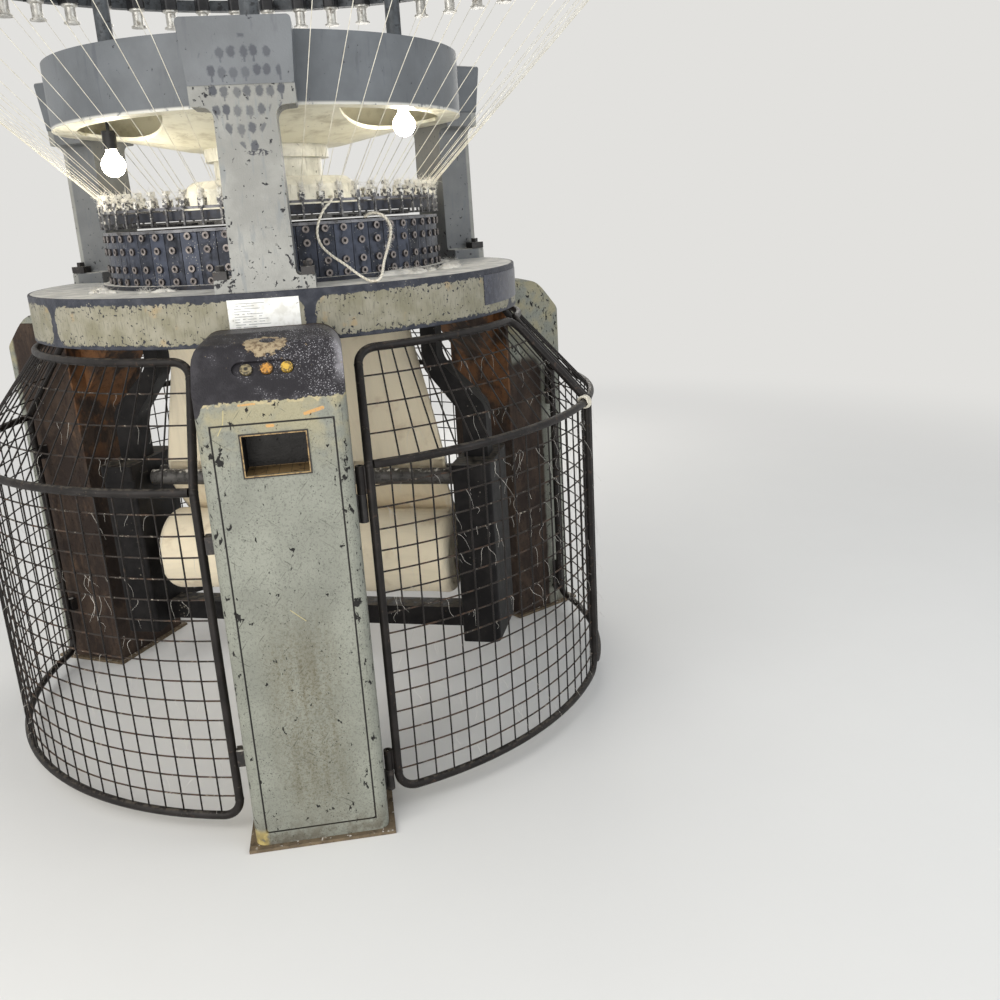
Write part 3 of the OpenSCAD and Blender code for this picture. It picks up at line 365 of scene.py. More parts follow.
def smoothed(points, count):
    """Points at equal steps along a Catmull-Rom curve through the given ones."""
    p = np.asarray(points, float)
    p = np.vstack([2 * p[0] - p[1], p, 2 * p[-1] - p[-2]])
    t = np.linspace(0, 1, 24, endpoint=False)[:, None]
    a, b, c, d = p[:-3, None], p[1:-2, None], p[2:-1, None], p[3:, None]
    curve = 0.5 * (2 * b + (c - a) * t + (2 * a - 5 * b + 4 * c - d) * t**2 + (3 * b - a - 3 * c + d) * t**3)
    curve = np.vstack([curve.reshape(-1, 3), p[-2]])
    run = np.append(0, np.cumsum(np.linalg.norm(np.diff(curve, axis=0), axis=1)))
    steps = np.linspace(0, run[-1], count)
    return np.stack([np.interp(steps, run, curve[:, k]) for k in range(3)], -1)


def frames_along(line, lead=(0.31, -0.5, 0.2)):
    """Two unit vectors across a line at each of its points, from the line's direction and a fixed lead."""
    along = np.gradient(line, axis=0)
    along /= np.linalg.norm(along, axis=1, keepdims=True)
    across = np.cross(along, np.asarray(lead) / np.linalg.norm(lead))
    across /= np.linalg.norm(across, axis=1, keepdims=True)
    return across, np.cross(along, across)


def tube_points(line, radius, sides):
    """Rings of points round a line: centre + radius * (cos a * across + sin a * up). radius may vary."""
    across, up = frames_along(line)
    a = np.arange(sides) * 2 * math.pi / sides
    r = np.broadcast_to(radius, (len(line), sides))[..., None]
    return line[:, None] + r * (np.cos(a)[:, None] * across[:, None] + np.sin(a)[:, None] * up[:, None])


def capped(rows, columns):
    """Quads of a tube's rings and one polygon at each end."""
    ring = np.arange(columns)
    return [quads(rows, columns, True), ring[::-1][None], (rows - 1) * columns + ring[None]]


def grid_uv(obj, name, u, v):
    """A UV map for a grid of quads: corner values from arrays of rows by columns plus one, so it closes cleanly."""
    corners = [np.stack([a[:-1, :-1], a[:-1, 1:], a[1:, 1:], a[1:, :-1]], -1).reshape(-1) for a in (u, v)]
    loops = np.zeros((len(obj.data.loops), 2), np.float32)
    loops[:len(corners[0])] = np.stack(corners, -1)
    obj.data.uv_layers.new(name=name).data.foreach_set("uv", loops.ravel())


def surface_points(node, count, rng, keep=None):
    """Random points and normals on a CAD node, spread by area. keep picks triangles by their middle point."""
    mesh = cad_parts[node].data
    mesh.calc_loop_triangles()
    corners = np.empty(len(mesh.loop_triangles) * 3, np.int32)
    mesh.loop_triangles.foreach_get("vertices", corners)
    co = np.empty(len(mesh.vertices) * 3)
    mesh.vertices.foreach_get("co", co)
    tri = co.reshape(-1, 3)[corners].reshape(-1, 3, 3)
    if keep is not None:
        tri = tri[keep(tri.mean(1))]
    cross = np.cross(tri[:, 1] - tri[:, 0], tri[:, 2] - tri[:, 0])
    area = np.linalg.norm(cross, axis=1)
    pick = rng.choice(len(tri), count, p=area / area.sum())
    u, v = rng.random((2, count, 1))
    flip = u + v > 1
    u, v = np.where(flip, 1 - u, u), np.where(flip, 1 - v, v)
    t = tri[pick]
    spot = t[:, 0] + u * (t[:, 1] - t[:, 0]) + v * (t[:, 2] - t[:, 0])
    return spot, cross[pick] / area[pick, None]


def fibre_mesh(name, roots, heading, length, thickness, material, rng, curl=0.6, droop=0.5):
    """Loose fibres from root points: each bends along heading, curls sideways and droops, as a thin 3-sided tube."""
    n, rings = len(roots), 7
    t = np.linspace(0, 1, rings)[None, :, None]
    size = (length * rng.uniform(0.5, 1.6, n))[:, None, None]
    side = np.cross(heading, rng.normal(size=(n, 3)))
    side /= np.linalg.norm(side, axis=1, keepdims=True)
    sway = np.sin(t * rng.uniform(2, 6, (n, 1, 1)) + rng.uniform(0, 6, (n, 1, 1)))
    line = roots[:, None] + size * (t * heading[:, None] + curl * 0.35 * t * sway * side[:, None])
    line[..., 2] -= (size * droop * t**2)[..., 0]
    ahead = np.gradient(line, axis=1)
    ahead /= np.linalg.norm(ahead, axis=2, keepdims=True)
    across = np.cross(ahead, side[:, None])
    across /= np.linalg.norm(across, axis=2, keepdims=True)
    up = np.cross(ahead, across)
    a = np.arange(3) * 2 * math.pi / 3
    width = thickness * (1 - 0.6 * t)
    ring = line[:, :, None] + width[..., None] * (
        np.cos(a)[:, None] * across[:, :, None] + np.sin(a)[:, None] * up[:, :, None])
    base = quads(rings, 3, True)
    faces = (np.arange(n)[:, None, None] * rings * 3 + base[None]).reshape(-1, 4)
    ends = np.arange(n)[:, None] * rings * 3 + np.arange(3)[None]
    return piece(name, ring, [faces, ends[:, ::-1], ends + (rings - 1) * 3], material)


# Paint and metal finishes


def chosen(group, name):
    """A colour setting, on the shader's linear scale."""
    return linear(getattr(getattr(bpy.context.scene, group), name))


def paint(name):
    """A colour of the paint settings."""
    return chosen("machine_paint", name)


# Places on the front pedestal, across and up, in metres, read off the photograph
CHIPPED_SPOTS = [(-0.117, 0.930), (-0.110, 0.895), (0.106, 0.925), (0.136, 0.905), (0.142, 0.865), (0.139, 0.800),
                 (0.134, 0.590), (0.130, 0.560), (-0.120, 0.575), (-0.104, 0.085), (0.104, 0.125), (-0.145, 0.760)]
ORANGE_STROKES = [((0.068, 1.003), (0.104, 1.012), 0.0045), ((-0.010, 0.984), (0.001, 0.984), 0.004),
                  ((-0.062, 1.030), (-0.030, 1.031), 0.0025)]
YELLOW_SCRATCHES = [((-0.093, 1.022), (-0.097, 0.995), 0.0012), ((-0.097, 0.995), (-0.110, 0.972), 0.0012),
                    ((-0.010, 0.578), (0.020, 0.550), 0.0012), ((-0.120, 1.062), (-0.134, 1.040), 0.0014)]
PANEL_MIDDLE, PANEL_HALF = (0.0, 0.5155), (0.123, 0.4735)
WINDOW_MIDDLE, WINDOW_HALF = (0.0, 0.924), (0.065, 0.042)
# Heights of the cap's lower edge and its flat top, and where a pedestal's outer face and sides are
CAP_EDGE, CAP_TOP = 1.034, 1.08
FRONT_FACE, SIDE_FACE = 0.9265, 0.151
# Where the cap's paint is worn away, and what is left of it in the middle, across and out
BARED_PATCH, BARED_HALF = (-0.004, 0.830), (0.060, 0.034)
LEFT_OVER_PATCH, LEFT_OVER_HALF = (0.002, 0.822), (0.026, 0.014)
# The rim's pale patches: one gap in every 60 degrees, one of them at -82, and the metres in a degree of the rim
PATCH_STEP, PATCH_START, RIM_DEGREE = 60, 82, 0.0116
# Steps in metres: finger marks across and up, lines of the job card, layers of the wound cloth
MARK_STEP = (0.0235, 0.0370)
CARD_LINE_STEP = 0.0058
CLOTH_LAYER = 0.004


def flecks(f, size, share):
    """Small irregular dots: the nearest scattered point counts where a coarser noise allows it."""
    gate = f.noise(size * 6, 3).rise(0.62 - share * 0.3, 0.70 - share * 0.3)
    return (f.grains(size) + (f.noise(size * 0.5, 2) - 0.5) * 0.35).rise(0.26, 0.14) * gate


def hammered(f, across, out, up):
    """Grey-green hammered paint: fine mottling, dark flecks, grey scratches and a brown oil stain low down."""
    base = paint("pedestal")
    colour = f.blend(shade(base, 0.86), shade(base, 1.12), f.noise(0.12, 5, 0.6).rise(0.30, 0.70))
    colour = f.blend(colour, shade(base, 0.42), f.noise(0.0042, 3, 0.7).rise(0.50, 0.66) * 0.55)
    warm = f.blend(colour, seen(158, 148, 112), f.noise(0.06, 3).rise(0.40, 0.62) * up.rise(0.86, 1.02) * 0.6)
    stain = across.rise(0.115, 0.03) * across.rise(-0.115, -0.03) * up.rise(0.66, 0.42) * up.rise(0.02, 0.16)
    streaks = f.noise(0.022, 4, 0.6, f.along((1, 1, 9))).rise(0.34, 0.66)
    speckle = f.noise(0.007, 4, 0.7).rise(0.46, 0.64)
    stain = stain * (streaks * 0.30 + speckle * 0.40 + 0.12) * out.rise(0.90, 0.925)
    colour = f.blend(warm, seen(84, 76, 54), stain)
    lean = f.noise(0.0035, 2, 0.5, f.along((1, 1, 16), (0, 38, 0))).rise(0.66, 0.74)
    other = f.noise(0.0035, 2, 0.5, f.along((1, 1, 14), (0, -52, 0))).rise(0.67, 0.75)
    upright = f.noise(0.003, 2, 0.5, f.along((1, 1, 22), (0, 4, 0))).rise(0.69, 0.77)
    marks = lean.at_least(other).at_least(upright) * f.noise(0.15, 2).rise(0.42, 0.6)
    colour = f.blend(colour, seen(70, 70, 62), marks * 0.75)
    return f.blend(colour, seen(38, 37, 34), flecks(f, 0.0065, 0.35) * 0.75)


def pedestal_finish(name, angle, front=False, oily_top=1.3, oily_out=0.930):
    """Pedestal: hammered paint, chips at the edges and oily rust on the inner side. The front one has a near-black
    worn cap. A rear one is oily on its sides too, below oily_top and inside oily_out."""
    f = Finish(name)
    across, out, up = f.turned(angle)
    side = abs(across)
    colour = hammered(f, across, out, up)
    near_edge = side.rise(0.105, 0.152) * 0.055 + out.rise(0.80, 0.70) * 0.03
    if front:
        for spot in CHIPPED_SPOTS:
            near_edge = near_edge + f.disc(across, up, spot, (0.022, 0.045)) * 0.10
    chips = (f.noise(0.013, 4, 0.6, f.along((1, 1, 1.6)), 0.3) + near_edge).rise(0.665, 0.69)
    colour = f.blend(colour, seen(26, 25, 24), chips)
    if front:
        for start, end, width in YELLOW_SCRATCHES:
            colour = f.blend(colour, seen(186, 172, 118), f.stroke(across, up, start, end, width) * 0.6)
        for start, end, width in ORANGE_STROKES:
            ragged = f.stroke(across, up, start, end, width) * f.noise(0.005, 4, 0.7).rise(0.36, 0.46)
            colour = f.blend(colour, seen(198, 148, 84), ragged * 0.8)
        seam = abs((side - PANEL_HALF[0]).at_least(abs(up - PANEL_MIDDLE[1]) - PANEL_HALF[1]) - 0.0015)
        colour = f.blend(colour, seen(30, 28, 26), seam.rise(0.0026, 0.0012) * out.rise(0.922, 0.926))
        foot_paint = side.rise(0.118, 0.128) * across.rise(0.0, -0.01) * up.rise(0.052, 0.035)
        colour = f.blend(colour, seen(186, 168, 108), foot_paint * f.noise(0.02).rise(0.32, 0.42))
    low_dirt = up.rise(0.10, 0.0) * f.noise(0.03, 4).rise(0.35, 0.6)
    colour = f.blend(colour, seen(72, 62, 48), low_dirt * 0.7)
    cap = 0.0
    if front:
        ragged_edge = up + (f.noise(0.011, 3) - 0.5) * 0.022 + (f.noise(0.07, 2) - 0.5) * 0.012
        cap = (ragged_edge + across.rise(-0.128, -0.150) * 0.028).rise(CAP_EDGE, CAP_EDGE + 0.002)
        lip = ragged_edge.rise(CAP_EDGE - 0.007, CAP_EDGE - 0.003) * (1 - cap)
        colour = f.blend(colour, paint("bared"), lip * f.noise(0.02).rise(0.42, 0.55))
        black = f.blend(paint("cap"), seen(52, 50, 54), f.noise(0.03, 4).rise(0.40, 0.75))
        density = f.noise(0.030, 3) + across * 1.5 + up * 1.2 - 1.30
        grit = f.grains(0.0046).rise(0.31, 0.12) * density.rise(0.44, 0.66)
        fine = f.noise(0.0030, 3, 0.7).rise(0.56, 0.66) * density.rise(0.48, 0.68) * 0.5
        black = f.blend(black, seen(176, 174, 178), (grit + fine).at_most(0.92))
        # A paler grey on the cap's right shoulder.
        rubbed = (side + (f.noise(0.02, 3) - 0.5) * 0.03).rise(0.128, 0.150)
        rubbed = rubbed * up.rise(1.05, 1.09) * across.rise(-0.2, 0.1)
        black = f.blend(black, seen(150, 148, 152), rubbed * 0.75)
        bared = f.disc(across, out, BARED_PATCH, BARED_HALF) + (f.noise(0.012, 4) - 0.5) * 0.9
        bared = bared.rise(0.16, 0.20) * up.rise(CAP_TOP, CAP_TOP + 0.01)
        left_over = f.disc(across, out, LEFT_OVER_PATCH, LEFT_OVER_HALF) + (f.noise(0.008) - 0.5) * 0.4
        left_over = left_over.rise(0.2, 0.25)
        mottled = f.blend(seen(164, 148, 120), seen(104, 86, 66), f.noise(0.008, 4, 0.65).rise(0.42, 0.66))
        black = f.blend(black, mottled, bared * (1 - left_over))
        colour = f.blend(colour, black, cap)
    inner = out.rise(0.712, 0.690) + (f.noise(0.08, 4) - 0.5) * 0.35
    if not front:
        reached = out.rise(oily_out, oily_out - 0.068) * up.rise(oily_top, oily_top - 0.16)
        inner = inner + side.rise(SIDE_FACE - 0.0005, SIDE_FACE + 0.001) * reached * 0.9
    oily = f.blend(paint("rust"), seen(42, 32, 27), f.noise(0.07, 6, 0.7, f.along((1, 1, 2.2)), 0.6).rise(0.34, 0.60))
    oily = f.blend(oily, seen(124, 96, 72), f.noise(0.05, 5, 0.7, f.along((1, 1, 3)), 0.8).rise(0.58, 0.74) * 0.4)
    if not front:
        rusty = f.noise(0.10, 4, 0.6).rise(0.42, 0.58) * up.rise(0.62, 0.80) * out.rise(0.700, 0.692)
        oily = f.blend(oily, seen(146, 100, 62), rusty * 0.6)
    oily = f.blend(oily, seen(24, 20, 18), f.noise(0.012, 4, 0.7).rise(0.56, 0.70) * 0.6)
    colour = f.blend(colour, oily, inner.rise(0.35, 0.6))
    if front:
        # Window pocket: its back and sides are painted near black as shade; the ledge of boards at its bottom keeps
        # its own colour.
        hole = side.rise(WINDOW_HALF[0] + 0.0015, WINDOW_HALF[0] + 0.0005)
        hole = hole * abs(up - WINDOW_MIDDLE[1]).rise(WINDOW_HALF[1] + 0.0015, WINDOW_HALF[1] + 0.0005)
        hole = hole * out.rise(FRONT_FACE + 0.0003, FRONT_FACE - 0.0003)
        boards = (across / 0.026).fraction().rise(0.06, 0.02)
        ledge = f.blend(seen(132, 108, 72), seen(48, 38, 28), boards.at_least(f.noise(0.02).rise(0.55, 0.7)))
        sill = WINDOW_MIDDLE[1] - WINDOW_HALF[1]
        inside = f.blend(seen(13, 11, 10), ledge, up.rise(sill + 0.0015, sill + 0.0005))
        colour = f.blend(colour, inside, hole)
    relief = f.noise(0.0035, 2) * 0.6 + f.noise(0.02, 3) * 0.4 - chips * 0.5 + cap * 0.3
    rough = 0.42 + f.noise(0.02, 3) * 0.2 + chips * 0.2 + inner.rise(0.35, 0.6) * 0.2
    return f.surface(colour, rough, relief=relief, depth=0.0012, Specular_IOR_Level=0.3)


def bed_finish():
    """Bed: pale patches with ragged ends on a dark rim, dusty top, darker brown underside."""
    f = Finish("bed_paint")
    turn = f.azimuth() * 360
    up = f.z
    ragged = (f.noise(0.010, 3) - 0.5) * 0.020 + (f.noise(0.05, 3) - 0.5) * 0.014
    middle, half = (top("bed_ring") + foot("bed_ring")) / 2, (top("bed_ring") - foot("bed_ring")) / 2
    band = abs(up - middle + 0.004) + ragged
    step = ((turn + PATCH_START) / PATCH_STEP + 0.5).fraction() - 0.5
    gap = abs(step) * PATCH_STEP * RIM_DEGREE
    corner = (0.030 - (half - 0.013 - band)).at_least(0.0) ** 2 + (0.042 - (gap + ragged)).at_least(0.0) ** 2
    patch = (corner ** 0.5).rise(0.0310, 0.0285)
    pale = f.blend(paint("rim_patch"), seen(126, 122, 102), f.noise(0.06, 4).rise(0.35, 0.65))
    combed = f.noise(0.004, 3, 0.6, f.along((1, 1, 7))).rise(0.50, 0.66)
    pale = f.blend(pale, seen(104, 102, 88), combed * 0.5)
    pale = f.blend(pale, seen(172, 142, 92), f.noise(0.045, 3).rise(0.62, 0.74) * 0.4)
    scuffs = (f.noise(0.009, 4, 0.6) + band.rise(half - 0.050, half - 0.014) * 0.07).rise(0.64, 0.67)
    pale = f.blend(pale, seen(40, 40, 46), scuffs)
    border = f.blend(paint("rim_border"), seen(64, 66, 74), f.noise(0.03, 4).rise(0.40, 0.7))
    border = f.blend(border, seen(150, 146, 130), flecks(f, 0.008, 0.2) * 0.7)
    colour = f.blend(border, pale, patch)
    dust = f.blend(seen(176, 175, 172), seen(210, 208, 202), f.noise(0.05, 5, 0.6).rise(0.35, 0.62))
    dust = f.blend(dust, seen(120, 120, 118), f.noise(0.10, 4).rise(0.60, 0.75) * 0.7)
    dust = f.blend(dust, seen(66, 66, 70), (f.radius() + (f.noise(0.01) - 0.5) * 0.008).rise(0.6560, 0.6600))
    colour = f.blend(colour, dust, f.upward() * up.rise(top("bed_ring") - 0.003, top("bed_ring") - 0.001))
    # Darker brown on the underside and inner faces.
    under = f.blend(seen(52, 48, 46), seen(84, 66, 50), f.noise(0.06, 4).rise(0.4, 0.65))
    colour = f.blend(colour, under, f.radius().rise(0.655, 0.650) * (1 - f.upward()))
    relief = f.noise(0.006, 4) * 0.5 + patch * 0.5 - scuffs * 0.3
    return f.surface(colour, 0.5 + f.upward() * 0.3, relief=relief, depth=0.0012, Specular_IOR_Level=0.3)


def finger_marks(f, across, up):
    """Rows of dark oval finger marks, in cells of a grid, with some left out and some smeared downwards."""
    column, row = across / MARK_STEP[0], up / MARK_STEP[1]
    odds = f.chance(column.floor(), row.floor())
    shift = f.chance(column.floor(), row.floor(), 3.0)
    a = (column.fraction() - 0.5 + (shift - 0.5) * 0.2) / 0.40
    smear = row.fraction() - 0.52 - (odds - 0.5) * 0.15
    b = smear / 0.34
    oval = ((a * a + b * b) ** 0.5 + (f.noise(0.006, 4, 0.65) - 0.5) * 1.1).rise(1.10, 0.62)
    drip = (abs(a) + (f.noise(0.008, 3) - 0.5) * 0.5).rise(0.34, 0.12) * smear.rise(0.1, -0.1)
    drip = drip * f.chance(column.floor(), row.floor(), 7.0).rise(0.50, 0.56)
    width = up.rise(1.50, 1.66) * 0.060 + 0.022
    envelope = 1 - ((across - 0.002) / width) ** 2 - ((up - 1.640) / 0.118) ** 4
    present = (envelope + (odds - 0.5) * 0.7).rise(0.02, 0.12)
    return oval.at_least(drip * 0.8) * present * (0.62 + odds * 0.36)


def column_finish():
    """Columns: grey paint, dark finger marks on the front one, chips at the edges and feet."""
    f = Finish("column_paint")
    front = f.y.rise(-0.55, -0.62)
    base = paint("column")
    colour = f.blend(shade(base, 0.82), shade(base, 1.12), f.noise(0.10, 5, 0.6).rise(0.32, 0.68))
    colour = f.blend(colour, seen(112, 118, 122), f.noise(0.012, 3, 0.6, f.along((1, 1, 6))).rise(0.55, 0.72) * 0.5)
    colour = f.blend(colour, seen(60, 66, 76), f.radius().rise(0.646, 0.640) * 0.6)
    colour = f.blend(colour, seen(52, 56, 66), finger_marks(f, f.x, f.z) * front)
    worn = f.noise(0.011, 4, 0.6, warp=0.3)
    chips = (worn + abs(f.x).rise(0.050, 0.068) * front * 0.05 + f.z.rise(1.40, 1.24) * 0.03).rise(0.655, 0.68)
    colour = f.blend(colour, seen(34, 34, 38), chips)
    colour = f.blend(colour, seen(38, 40, 48), f.disc(f.x, f.z, (0.022, 1.524), (0.036, 0.010)).rise(0.1, 0.3)
                     * f.noise(0.006).rise(0.45, 0.55) * front)
    colour = f.blend(colour, seen(196, 194, 186), f.upward() * f.noise(0.02, 3).rise(0.35, 0.55) * 0.8)
    relief = f.noise(0.03, 4) * 0.5 + f.noise(0.004, 2) * 0.3 - chips * 0.4
    return f.surface(colour, 0.45 + chips * 0.3, relief=relief, depth=0.0012)


def crown_finish():
    """Crown: blue-grey outside with dust on top, cream underside with lint, the inner wall painted cream as lamp
    light, finger marks on the front lug.
    """
    f = Finish("crown_paint")
    base = paint("crown")
    colour = f.blend(shade(base, 0.84), shade(base, 1.12), f.noise(0.14, 5, 0.6).rise(0.32, 0.68))
    colour = f.blend(colour, seen(70, 72, 80), f.noise(0.02, 4, 0.6, f.along((1, 1, 7))).rise(0.58, 0.72) * 0.45)
    colour = f.blend(colour, seen(52, 56, 66), finger_marks(f, f.x, f.z) * f.y.rise(-0.55, -0.62))
    chips = f.noise(0.012, 4, 0.6, warp=0.3).rise(0.68, 0.70)
    colour = f.blend(colour, seen(40, 42, 50), chips)
    # A pale line along the crown's rim.
    rim = f.z.rise(foot("crown") + 0.064, foot("crown") + 0.058) * f.radius().rise(0.530, 0.536)
    dusty = f.noise(0.02, 3).rise(0.30, 0.45) * f.radius().rise(0.545, 0.540)
    colour = f.blend(colour, seen(206, 204, 196), rim * dusty)
    cream = f.blend(paint("crown_under"), seen(186, 180, 160), f.noise(0.07, 5, 0.6).rise(0.45, 0.72))
    cream = f.blend(cream, seen(120, 110, 92), flecks(f, 0.012, 0.2) * 0.6)
    shell = f.radius().rise(0.540, 0.538)
    # The inner wall inside the rim takes the underside's cream as painted lamp light; on the underside the cream is
    # its paint.
    hollow = f.z.rise(top("crown") - 0.006, top("crown") - 0.010) * f.radius().rise(0.534, 0.530)
    colour = f.blend(colour, cream, (f.downward() + hollow).at_most(1.0) * shell)
    dust = f.blend(seen(150, 148, 144), seen(196, 193, 186), f.noise(0.06, 5, 0.6).rise(0.35, 0.65))
    colour = f.blend(colour, dust, f.upward() * 0.85)
    relief = f.noise(0.04, 4) * 0.4 + f.noise(0.004, 2) * 0.3 - chips * 0.4
    return f.surface(colour, 0.45 + f.upward() * 0.35, relief=relief, depth=0.001)


def steel_finish(name, colour, dirt, dust=0.5, metal=0.8, rough=0.38, grain=0.004):
    """Bare or blackened steel: cloudy tone, dirt in patches and settled lint on what looks up."""
    f = Finish(name)
    tone = f.blend(shade(colour, 0.72), shade(colour, 1.25), f.noise(0.03, 4, 0.6).rise(0.32, 0.68))
    patches = f.noise(0.018, 4, 0.65, warp=0.4).rise(0.52, 0.66)
    tone = f.blend(tone, dirt, patches * 0.8)
    settled = f.upward() * f.noise(0.014, 4, 0.6).rise(0.62 - dust * 0.35, 0.74 - dust * 0.3)
    tone = f.blend(tone, chosen("machine_lint", "colour"), settled)
    bare = (1 - patches * 0.7) * (1 - settled) * metal
    relief = f.noise(grain, 3) * 0.5 + patches * 0.3 + settled * 0.6
    return f.surface(tone, rough + patches * 0.25 + settled * 0.4, bare, relief, 0.0006)


def drum_finish():
    """Cam segments: blue-black steel, greyed edges, oily smears and lint caught on the face."""
    f = Finish("cam_box_steel")
    base = paint("drum")
    colour = f.blend(base, seen(64, 68, 80), f.noise(0.025, 4, 0.6).rise(0.38, 0.68))
    segment = f.azimuth() * CAM_SEGMENTS + 0.5
    edge = abs(segment.fraction() - 0.5).rise(0.468, 0.485)
    colour = f.blend(colour, seen(15, 17, 23), edge * 0.85)
    tone = f.chance(segment.floor())
    colour = f.blend(colour, seen(84, 90, 106), tone.rise(0.55, 0.95) * 0.45)
    smear = f.noise(0.014, 4, 0.6, f.along((1, 1, 4))).rise(0.56, 0.70)
    colour = f.blend(colour, seen(24, 26, 32), smear * 0.7)
    lint = flecks(f, 0.006, 0.35)
    colour = f.blend(colour, seen(178, 176, 170), lint * 0.8)
    relief = f.noise(0.004, 3) * 0.4 - edge * 0.5 + lint * 0.4
    return f.surface(colour, 0.40 + smear * 0.2 + lint * 0.3, 0.3, relief, 0.0006, Specular_IOR_Level=0.3)


def tube_finish(name, colour, worn):
    """Guard tubes: brown-black paint, rubbed shiny along the rails, rust blooms and lint in the corners."""
    f = Finish(name)
    tone = f.blend(colour, shade(colour, 1.9, 0.003), f.noise(0.05, 4).rise(0.35, 0.7))
    tone = f.blend(tone, worn, f.noise(0.016, 4, 0.65, warp=0.5).rise(0.60, 0.68) * 0.6)
    lint = f.upward() * f.noise(0.012, 4).rise(0.42, 0.60) + flecks(f, 0.007, 0.15)
    tone = f.blend(tone, seen(122, 114, 102), lint.at_most(1.0) * 0.32)
    relief = f.noise(0.006, 3) * 0.6 + lint * 0.4
    rough = 0.34 + f.noise(0.02, 3) * 0.25 + lint * 0.2
    return f.surface(tone, rough, 0.1, relief, 0.0006, Specular_IOR_Level=0.25)


def wire_finish(name, colour, rusty):
    """Guard wires: dark wire with rust, and pale fluff wound round it in places."""
    f = Finish(name)
    rust = (f.noise(0.03, 4, 0.6) + f.z.rise(0.7, 0.1) * rusty).rise(0.52, 0.66)
    tone = f.blend(colour, seen(84, 62, 46), rust * 0.55)
    fluff = f.noise(0.010, 3, 0.6, warp=0.5).rise(0.60, 0.66) * f.noise(0.14, 3).rise(0.40, 0.60)
    tone = f.blend(tone, seen(176, 168, 154), fluff * 0.8)
    relief = f.noise(0.003, 2) * 0.5 + fluff * 0.5
    return f.surface(tone, 0.5 + fluff * 0.3, 0.1, relief, 0.0008, Specular_IOR_Level=0.3)


def bezel_finish():
    """Window edge: a thin worn brass lip, with painted shadow as the dark border round it."""
    f = Finish("brass_edge")
    beyond = (abs(f.x) - WINDOW_HALF[0]).at_least(abs(f.z - WINDOW_MIDDLE[1]) - WINDOW_HALF[1])
    brass = f.blend(seen(158, 132, 88), seen(92, 70, 44), f.noise(0.01, 4, 0.6).rise(0.42, 0.66))
    # The dark band outside the brass lip is painted shadow.
    tone = f.blend(brass, seen(30, 27, 24), beyond.rise(0.0016, 0.0026))
    rough = 0.42 + f.noise(0.01, 3) * 0.2
    return f.surface(tone, rough, relief=f.noise(0.004, 3), depth=0.0003, Specular_IOR_Level=0.35)


def bolt_finish():
    """Cam bolts: grey worn heads with darker sockets and sides."""
    f = Finish("bolt_heads")
    tone = f.blend(seen(142, 134, 130), seen(92, 86, 86), f.noise(0.012, 4, 0.6).rise(0.42, 0.66))
    sunk = f.radius().rise(reach("cam_bolts") - 0.0008, reach("cam_bolts") - 0.0020)
    tone = f.blend(tone, seen(22, 20, 22), sunk * 0.92)
    return f.surface(tone, 0.42 + sunk * 0.2, 0.4 - sunk * 0.4, f.noise(0.003, 3), 0.0003)


def feeder_finish():
    """Feeders: dark castings with pale lint felted over their tops and caught in their corners."""
    f = Finish("feeder_castings")
    low, high = foot("yarn_feeders"), top("yarn_feeders")
    tone = f.blend(seen(70, 70, 74), seen(124, 122, 120), f.noise(0.012, 4, 0.6).rise(0.40, 0.70))
    tone = f.blend(tone, seen(34, 33, 34), f.noise(0.02, 4, 0.65, warp=0.4).rise(0.52, 0.66) * 0.8)
    height = (f.z - low) / (high - low)
    felt = (f.noise(0.009, 4, 0.65) + height * 0.26 + f.upward() * 0.16).rise(0.62, 0.72)
    tone = f.blend(tone, seen(226, 223, 214), felt)
    relief = f.noise(0.004, 3) * 0.4 + felt * 0.8
    return f.surface(tone, 0.42 + felt * 0.45, 0.4 - felt * 0.4, relief, 0.0012)


def takedown_finish():
    """Take-down castings: black paint, greasy sheen, dust and fluff on ledges."""
    f = Finish("takedown_black")
    tone = f.blend(paint("black"), seen(30, 28, 28), f.noise(0.05, 5, 0.6).rise(0.38, 0.68))
    chips = f.noise(0.010, 4, 0.65).rise(0.68, 0.71)
    tone = f.blend(tone, seen(66, 56, 48), chips * 0.7)
    dust = f.upward() * f.noise(0.02, 4).rise(0.38, 0.60)
    tone = f.blend(tone, seen(104, 98, 88), dust * 0.7)
    fluff = flecks(f, 0.012, 0.1)
    tone = f.blend(tone, seen(140, 134, 122), fluff * 0.5)
    relief = f.noise(0.008, 4) * 0.6 + fluff * 0.3
    rough = 0.44 + f.noise(0.03, 3) * 0.2 + dust * 0.3
    return f.surface(tone, rough, 0.0, relief, 0.0008, Specular_IOR_Level=0.16)


def cover_finish():
    """Dial cover and hub: pale paint dulled by dust, with grey smears down the sides."""
    f = Finish("cover_paint")
    tone = f.blend(seen(226, 224, 214), seen(196, 194, 184), f.noise(0.05, 5, 0.6).rise(0.40, 0.68))
    smears = f.noise(0.012, 4, 0.6, f.along((1, 1, 6))).rise(0.56, 0.72)
    tone = f.blend(tone, seen(140, 136, 128), smears * 0.55)
    tone = f.blend(tone, seen(84, 80, 76), f.noise(0.009, 4, 0.6, warp=0.4).rise(0.67, 0.70))
    dust = f.upward() * f.noise(0.03, 4).rise(0.35, 0.60)
    tone = f.blend(tone, chosen("machine_lint", "colour"), dust * 0.8)
    return f.surface(tone, 0.4 + dust * 0.4, relief=f.noise(0.01, 4), depth=0.0006)


def needle_finish(name, turn_count):
    """Needle bed: a dark groove for each needle round the axis, and bright steel between the grooves."""
    f = Finish(name)
    groove = (f.azimuth() * turn_count).fraction() - 0.5
    land = abs(groove).rise(0.30, 0.22)
    tone = f.blend(seen(60, 58, 56), seen(170, 168, 164), land * (0.6 + f.noise(0.02, 3) * 0.5))
    fluff = f.noise(0.012, 4, 0.6).rise(0.60, 0.70)
    tone = f.blend(tone, seen(200, 196, 186), fluff * 0.6)
    return f.surface(tone, 0.35 + fluff * 0.4, 0.8 - fluff * 0.7, land * 0.8, 0.0006)


